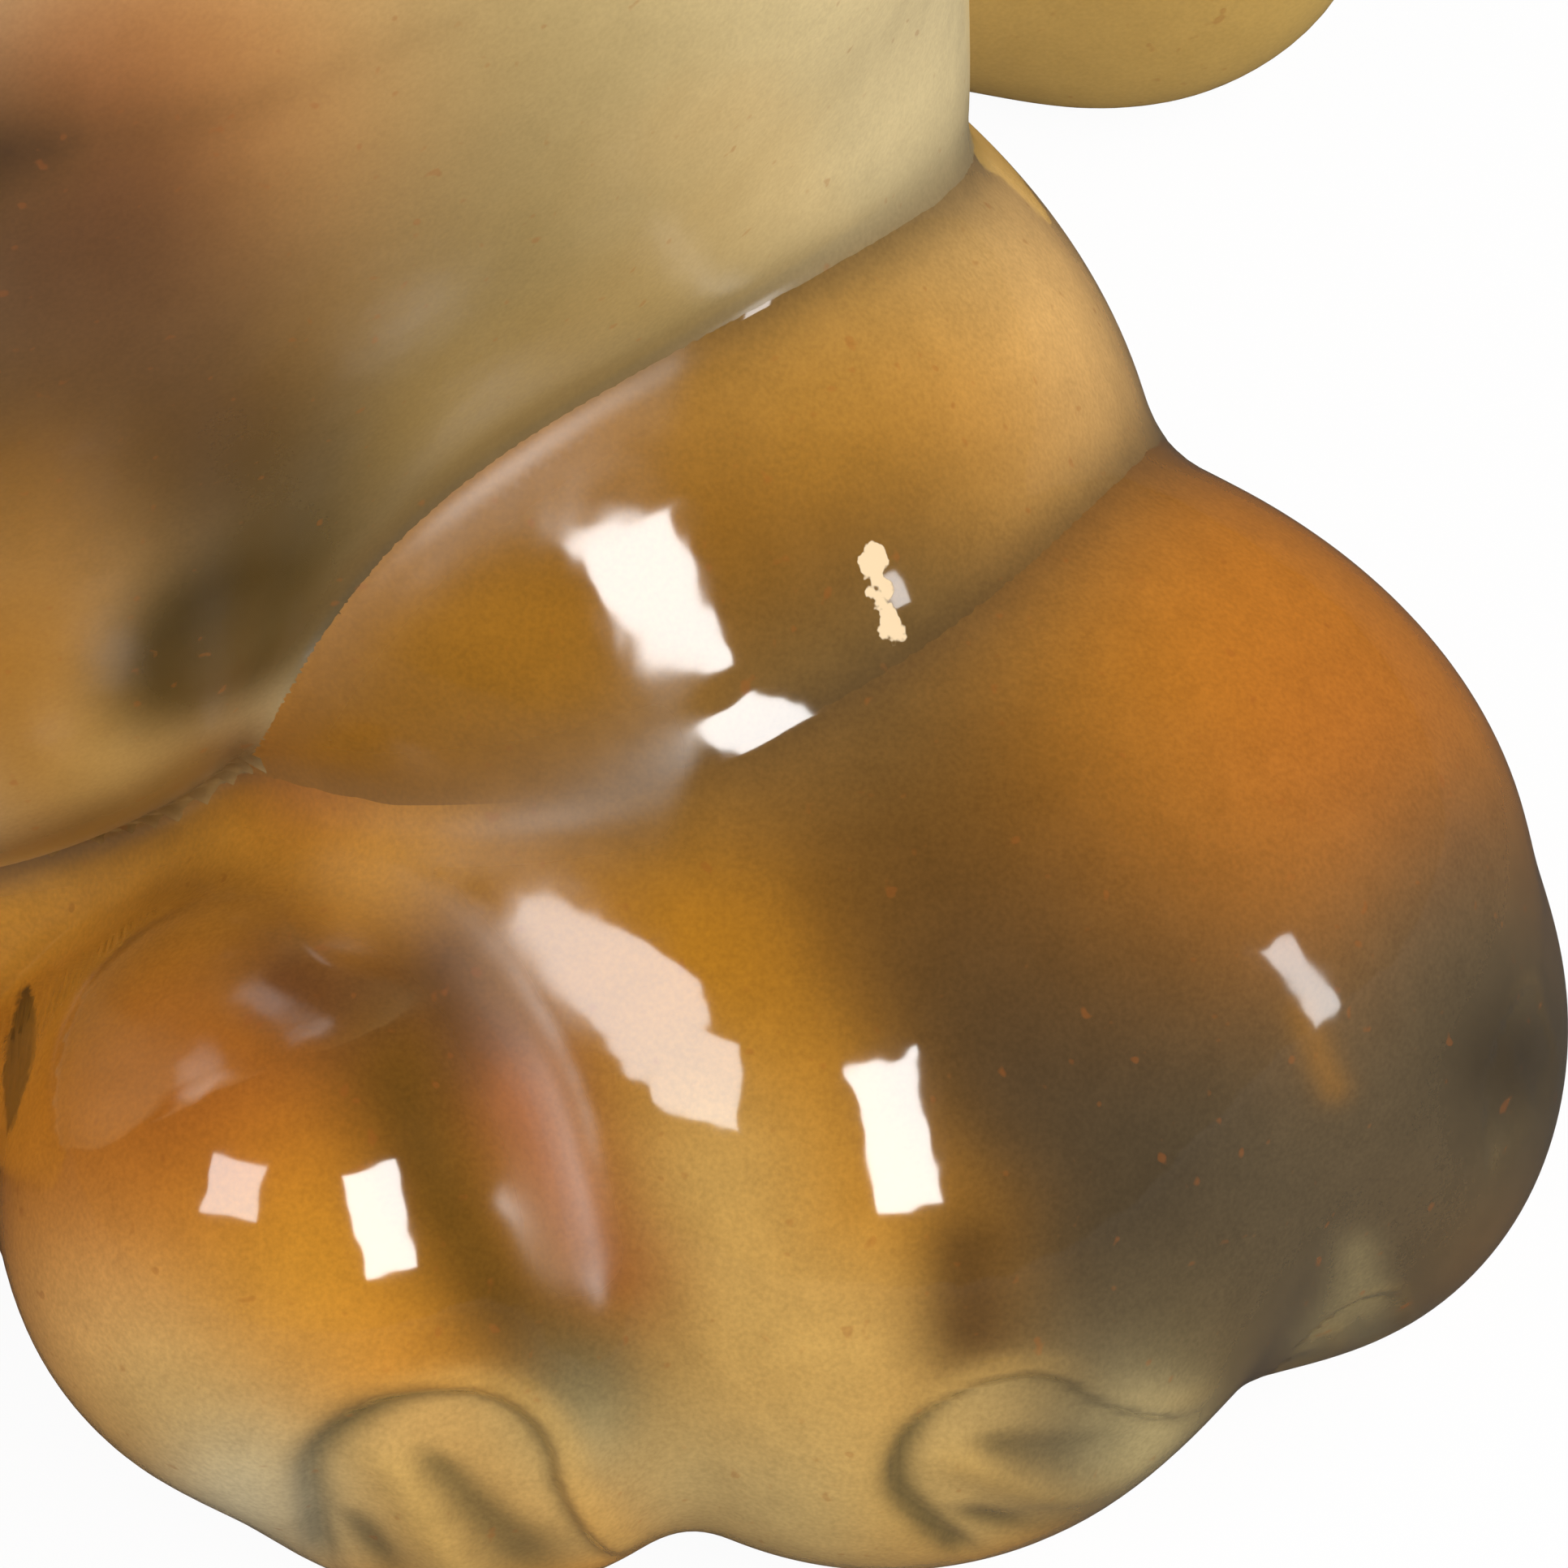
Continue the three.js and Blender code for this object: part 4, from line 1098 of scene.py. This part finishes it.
def glaze_group():
    """Sprayed pigment under glaze: fine speckle and mottle over the paint, a few rusty specks, ink
    with a broken edge where its distance is negative, and the slow ripple of the glaze."""
    tree = bpy.data.node_groups.new("sprayed pigment under glaze", "ShaderNodeTree")
    for name, kind, way in (
            ("Paint", "NodeSocketColor", "INPUT"), ("Ink Distance", "NodeSocketFloat", "INPUT"),
            ("Speckle", "NodeSocketFloat", "INPUT"), ("Dullness", "NodeSocketFloat", "INPUT"),
            ("Colour", "NodeSocketColor", "OUTPUT"), ("Roughness", "NodeSocketFloat", "OUTPUT"),
            ("Ripple", "NodeSocketFloat", "OUTPUT")):
        tree.interface.new_socket(name, in_out=way, socket_type=kind)
    given = add_node(tree, "NodeGroupInput")
    coordinates = add_node(tree, "ShaderNodeTexCoord").outputs["Object"]
    fine = remap(tree, noise(tree, coordinates, SPECKLE_WAVES), 0.3, 0.7, -1.0, 1.0)
    mottle = remap(tree, noise(tree, coordinates, MOTTLE_WAVES, 3.0), 0.3, 0.7, -1.0, 1.0)
    speckled = maths(tree, "MULTIPLY", fine, SPECKLE_SHARE)
    grain = maths(tree, "ADD", speckled, maths(tree, "MULTIPLY", mottle, MOTTLE_SHARE))
    grain = maths(tree, "MULTIPLY", grain, given.outputs["Speckle"])
    level = maths(tree, "ADD", grain, 1.0)
    shade = add_node(tree, "ShaderNodeCombineColor")
    for socket in shade.inputs[:3]:
        link(tree, level, socket)
    colour = mixed(tree, 1.0, given.outputs["Paint"], shade.outputs[0], "MULTIPLY")
    specks = remap(tree, noise(tree, coordinates, SPECK_WAVES, 1.0), 0.71, 0.78, 0.0, 0.3)
    colour = mixed(tree, specks, colour, RUST)
    edge = remap(tree, noise(tree, coordinates, EDGE_WAVES), 0.0, 1.0, -0.15, 0.15)
    edge = maths(tree, "ADD", edge, given.outputs["Ink Distance"])
    inked = remap(tree, edge, 0.09, -0.09, smooth=True)
    colour = mixed(tree, inked, colour, INK)
    ripple = noise(tree, coordinates, RIPPLE_WAVES)
    rough = remap(tree, mottle, -1.0, 1.0, 0.94, 1.06)
    rough = maths(tree, "MULTIPLY", rough, given.outputs["Dullness"])
    leaving = add_node(tree, "NodeGroupOutput")
    for name, value in (("Colour", colour), ("Roughness", rough), ("Ripple", ripple)):
        link(tree, value, leaving.inputs[name])
    return tree


PIGMENT = glaze_group()


def attribute(tree, name):
    """Value kept on the piece's points, as a node."""
    return add_node(tree, "ShaderNodeAttribute", attribute_name=name)


GLAZE_INDEX = 1.85
GLOSSY, SATIN = 0.065, 0.24
RIPPLE_STRENGTH, RIPPLE_HEIGHT = 0.1, 0.0004
BARE_CLAY = glaze_paint(216, 188, 146)


def glaze_material(name, speckle, dullness, extra=None):
    """Clear glaze over sprayed paint read from the piece's points, with the eyes' yellow or a chip
    down to the bare clay where asked."""
    material = bpy.data.materials.new(name)
    material.use_nodes = True
    tree = material.node_tree
    body = tree.nodes["Principled BSDF"]
    body.inputs["IOR"].default_value = GLAZE_INDEX
    pigment = add_node(tree, "ShaderNodeGroup", node_tree=PIGMENT)
    pigment.inputs["Speckle"].default_value = speckle
    pigment.inputs["Dullness"].default_value = dullness
    paint = attribute(tree, "paint").outputs["Color"]
    if extra == "iris":
        within = remap(tree, attribute(tree, "iris").outputs["Fac"], 0.12, -0.12, smooth=True)
        paint = mixed(tree, within, paint, IRIS)
    link(tree, paint, pigment.inputs["Paint"])
    link(tree, attribute(tree, "ink").outputs["Fac"], pigment.inputs["Ink Distance"])
    colour, rough = pigment.outputs["Colour"], pigment.outputs["Roughness"]
    if extra == "chip":
        coordinates = add_node(tree, "ShaderNodeTexCoord").outputs["Object"]
        ragged = remap(tree, noise(tree, coordinates, EDGE_WAVES), 0.2, 0.8, -0.25, 0.25)
        ragged = maths(tree, "ADD", ragged, attribute(tree, "chip").outputs["Fac"])
        chipped = remap(tree, ragged, 0.04, -0.04, smooth=True)
        colour = mixed(tree, chipped, colour, BARE_CLAY)
        rough = maths(tree, "ADD", rough, maths(tree, "MULTIPLY", chipped, 0.5))
    link(tree, colour, body.inputs["Base Color"])
    rough = maths(tree, "ADD", rough, attribute(tree, "dull").outputs["Fac"])
    link(tree, rough, body.inputs["Roughness"])
    bump = add_node(tree, "ShaderNodeBump", Strength=RIPPLE_STRENGTH, Distance=RIPPLE_HEIGHT)
    link(tree, pigment.outputs["Ripple"], bump.inputs["Height"])
    link(tree, bump.outputs["Normal"], body.inputs["Normal"])
    return material


AMBER_GLAZE = glaze_material("amber_glaze", 0.13, GLOSSY)
CREAM_GLAZE = glaze_material("cream_glaze", 0.09, SATIN)
UMBER_GLAZE = glaze_material("umber_glaze", 0.15, GLOSSY)
CHIPPED_GLAZE = glaze_material("chipped_amber_glaze", 0.14, GLOSSY, "chip")
FACE_GLAZE = glaze_material("face_glaze", 0.09, GLOSSY, "iris")


# Pieces

def make_piece(node, grid, nodes, lip, painter, material):
    """One casting: rays out to the figure's skin, normals from the skin's slope, and paint."""
    hearts, rays, columns = grid
    _, side = casting_of(node)
    mirror = np.array((1.0, side or 1.0, 1.0))
    hearts, rays = hearts * mirror, rays * mirror
    reach = reach_skin(hearts, rays, lambda at: piece_field(at, node, nodes, lip))
    points = hearts + rays * reach[:, None]
    slopes = skin_slope(points, nodes)
    near = depths(points, nodes)
    others = [value for name, value in zip(nodes, near) if name != node]
    seam = np.maximum(np.minimum.reduce(others), 0.0)
    painted = painter(points * mirror, slopes * mirror, seam)
    walls, fans = grid_faces(len(points), columns)
    if side < 0:
        walls, fans = walls[:, ::-1], fans[:, ::-1]
    mesh = bpy.data.meshes.new(node)
    mesh.from_pydata(place_mm(points).tolist(), [], walls.tolist() + fans.tolist())
    mesh.polygons.foreach_set("use_smooth", np.ones(len(mesh.polygons), bool))
    mesh.normals_split_custom_set_from_vertices(slopes.tolist())
    shade = mesh.attributes.new("paint", "FLOAT_COLOR", "POINT")
    shade.data.foreach_set("color", np.column_stack((painted[0], np.ones(len(points)))).ravel())
    for name, values in zip(("ink", "dull", "iris"), painted[1:]):
        mesh.attributes.new(name, "FLOAT", "POINT").data.foreach_set("value", values)
    mesh.materials.append(material)
    piece = bpy.data.objects.new(f"glazed_{node}", mesh)
    bpy.context.collection.objects.link(piece)
    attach(piece, "root")
    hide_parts(node)
    return piece, points * mirror


def line_between(*stops, rows):
    """Points evenly spaced along straight stretches between the stops."""
    stops = np.asarray(stops, float)
    run = np.concatenate(((0.0,), np.cumsum(length(np.diff(stops, axis=0)))))
    place = np.linspace(0.0, run[-1], rows)
    return np.column_stack([np.interp(place, run, stops[:, i]) for i in range(3)])


FOOT_AIM = math.radians(25.0)
TAIL_SIDE = "left"


def around(side, *kinds, tail=False):
    """Names of the torso, the castings of these kinds on a side, and the tail where it lies."""
    names = ["torso", *(f"{side}_{kind}" for kind in kinds)]
    return names + ["tail"] if tail and side == TAIL_SIDE else names


torso_line = line_between((-21.0, 0.0, 36.0), (18.0, 0.0, 136.0), rows=120)
make_piece(
    "torso", spine_rays(torso_line, 44, 200, (1.0, 0.0, -0.2)),
    ["torso", "head", "left_foreleg", "right_foreleg", "left_haunch", "right_haunch",
     "left_hind_foot", "right_hind_foot", "tail"],
    2.5, paint_torso, AMBER_GLAZE)
make_piece(
    "head", globe_rays(CROWN, (1.0, 1.0, 1.0), 230, 300, axis=(1.0, 0.0, -0.25)),
    ["torso", "head", "left_ear", "right_ear"], 1.5, paint_head, FACE_GLAZE)
make_piece(
    "tail", spine_rays(tail_line(240)[0], 22, 64, UPWARD),
    ["torso", "left_haunch", "left_hind_foot", "tail"], 1.5, paint_tail, AMBER_GLAZE)

leg_line = line_between(
    SHOULDER + (0, 0, 12), SHOULDER + (5, -3, -18), FOREPAW + (-2.5, 1.1, 12), rows=110)
foot_line = line_between((-20, 50.6, 8.0), (14, 54, 8.2), (40, 56, 8.0), rows=300)

for side in SIDES:
    make_piece(
        f"{side}_ear", globe_rays(EAR + (-3.0, 0.0, 0.0), (0.6, 1.0, 1.1), 96, 120),
        ["head", f"{side}_ear"], 1.0, paint_ear, AMBER_GLAZE)
    make_piece(
        f"{side}_foreleg", spine_rays(leg_line, 26, 120, (1.0, 0.0, 0.0)),
        around(side, "foreleg", "haunch", "forepaw"),
        1.5, paint_foreleg, AMBER_GLAZE)
    make_piece(
        f"{side}_forepaw", globe_rays(FOREPAW + (6.0, 0.0, -0.5), (1.0, 0.8, 0.7), 170, 220),
        around(side, "foreleg", "forepaw"), 1.0, paint_forepaw, CREAM_GLAZE)
    make_piece(
        f"{side}_haunch", globe_rays(THIGH, (1.0, 1.0, 1.0), 230, 260, (32.0, 10.0, -14.0), 0.55),
        around(side, "foreleg", "haunch", "shank", "hind_foot", tail=True),
        2.0, paint_haunch, CREAM_GLAZE)
    shank_piece, shank_points = make_piece(
        f"{side}_shank", globe_rays(SHANK, (1.0, 1.0, 1.0), 180, 220, (7.8, 8.8, 4.5), 0.3),
        around(side, "haunch", "shank", "hind_foot"),
        1.2, paint_shank, CHIPPED_GLAZE)
    chip = brush_stroke(shank_points, CHIP, CHIP_WIDTHS) if side == "right" else bare(shank_points)
    shank_piece.data.attributes.new("chip", "FLOAT", "POINT").data.foreach_set("value", chip)
    make_piece(
        f"{side}_hind_foot", spine_rays(foot_line, 60, 220, UPWARD, 0.45, FOOT_AIM),
        around(side, "haunch", "shank", "hind_foot", tail=True),
        0.8, paint_foot, UMBER_GLAZE)


# Stage, camera and light: places in the modeller's millimetres, lamps and floor in metres

LOOK_AT = (33.0, -53.2, 10.8)
FRAME_WIDTH = 37.0
CAMERA_DISTANCE = 420.0
CAMERA_AZIMUTH, CAMERA_ELEVATION = -90.0, 45.0
SENSOR_WIDTH = 36.0
FLOOR_HALF = 4.0
CARD, CARD_MIRRORED, CARD_SEEN = (0.75,) * 3, (0.07,) * 3, (0.92,) * 3
CARD_WHITE = 0.95
WORLD, WORLD_MIRRORED = 0.2, 0.04
LAMP_DISTANCE = 0.9

# Name, azimuth, elevation, width, height, brightness, roll, and whether the glaze mirrors the lamp
LAMPS = (
    ("window_left", -134.06, 38.87, 0.32, 0.32, 5.0, 0.32, True),
    ("window_front", -68.57, 34.46, 0.27, 0.59, 9.5, 0.0, True),
    ("window_right", -21.5, 10.0, 0.09, 0.34, 5.0, 0.0, True),
    ("window_back", 128.0, 16.0, 0.5, 0.36, 5.0, 0.0, True),
    ("fill_right", -8.0, 38.0, 0.8, 0.8, 2.8, 0.0, False),
)


def make_floor():
    """Wide level square of pale card, a shade darker in the glaze than to the camera."""
    turns = ((-1.0, -1.0), (1.0, -1.0), (1.0, 1.0), (-1.0, 1.0))
    corners = [(FLOOR_HALF * along, FLOOR_HALF * across, 0.0) for along, across in turns]
    mesh = bpy.data.meshes.new("floor")
    mesh.from_pydata(corners, [], [(0, 1, 2, 3)])
    material = bpy.data.materials.new("pale_card")
    material.use_nodes = True
    tree = material.node_tree
    body = tree.nodes["Principled BSDF"]
    body.inputs["Roughness"].default_value = 1.0
    body.inputs["Specular IOR Level"].default_value = 0.0
    path = add_node(tree, "ShaderNodeLightPath")
    card = mixed(tree, path.outputs["Is Glossy Ray"], CARD, CARD_MIRRORED)
    card = mixed(tree, path.outputs["Is Camera Ray"], card, CARD_SEEN)
    link(tree, card, body.inputs["Base Color"])
    white = add_node(tree, "ShaderNodeEmission", Strength=1.0)
    seen = maths(tree, "MULTIPLY", path.outputs["Is Camera Ray"], CARD_WHITE)
    mix = add_node(tree, "ShaderNodeMixShader")
    link(tree, seen, mix.inputs[0])
    link(tree, body.outputs[0], mix.inputs[1])
    link(tree, white.outputs[0], mix.inputs[2])
    link(tree, mix.outputs[0], tree.nodes["Material Output"].inputs["Surface"])
    mesh.materials.append(material)
    floor = bpy.data.objects.new("floor", mesh)
    bpy.context.collection.objects.link(floor)


def make_world():
    """Even white surroundings, dimmer in the glaze and full white where the camera sees them."""
    world = bpy.data.worlds.new("studio")
    bpy.context.scene.world = world
    world.use_nodes = True
    tree = world.node_tree
    ground = tree.nodes["Background"]
    ground.inputs["Color"].default_value = (1.0, 1.0, 1.0, 1.0)
    path = add_node(tree, "ShaderNodeLightPath")
    level = remap(tree, path.outputs["Is Glossy Ray"], 0.0, 1.0, WORLD, WORLD_MIRRORED)
    level = maths(tree, "MAXIMUM", level, path.outputs["Is Camera Ray"])
    link(tree, level, ground.inputs["Strength"])


def direction(azimuth, elevation):
    """Unit direction from degrees round from +X and degrees up."""
    turn, rise = math.radians(azimuth), math.radians(elevation)
    level = math.cos(rise)
    return np.array((math.cos(turn) * level, math.sin(turn) * level, math.sin(rise)))


def softbox(name, azimuth, elevation, width, height, radiance, roll, mirrored):
    """Rectangular soft light facing the foot from a direction, with its brightness given."""
    data = bpy.data.lights.new(name, "AREA")
    data.shape = "RECTANGLE"
    data.size, data.size_y = width, height
    data.energy = radiance * math.pi * width * height
    lamp = bpy.data.objects.new(name, data)
    away = Vector(direction(azimuth, elevation))
    lamp.location = Vector(place_mm(LOOK_AT)) + away * LAMP_DISTANCE
    lamp.rotation_mode = "QUATERNION"
    lamp.rotation_quaternion = away.to_track_quat("Z", "Y") @ Quaternion((0.0, 0.0, 1.0), roll)
    lamp.visible_glossy = mirrored
    bpy.context.collection.objects.link(lamp)


def make_camera():
    """Camera on the photograph's line of sight, with its angle set by the frame's width."""
    data = bpy.data.cameras.new("camera")
    data.sensor_width = SENSOR_WIDTH
    data.lens = SENSOR_WIDTH * CAMERA_DISTANCE / FRAME_WIDTH
    data.clip_start = 0.01
    camera = bpy.data.objects.new("camera", data)
    away = Vector(direction(CAMERA_AZIMUTH, CAMERA_ELEVATION))
    camera.location = Vector(place_mm(LOOK_AT)) + away * (CAMERA_DISTANCE * SCALE * MM)
    camera.rotation_mode = "QUATERNION"
    camera.rotation_quaternion = away.to_track_quat("Z", "Y")
    bpy.context.collection.objects.link(camera)
    bpy.context.scene.camera = camera


make_floor()
make_world()
for lamp in LAMPS:
    softbox(*lamp)
make_camera()
bpy.context.scene.view_settings.view_transform = "Standard"
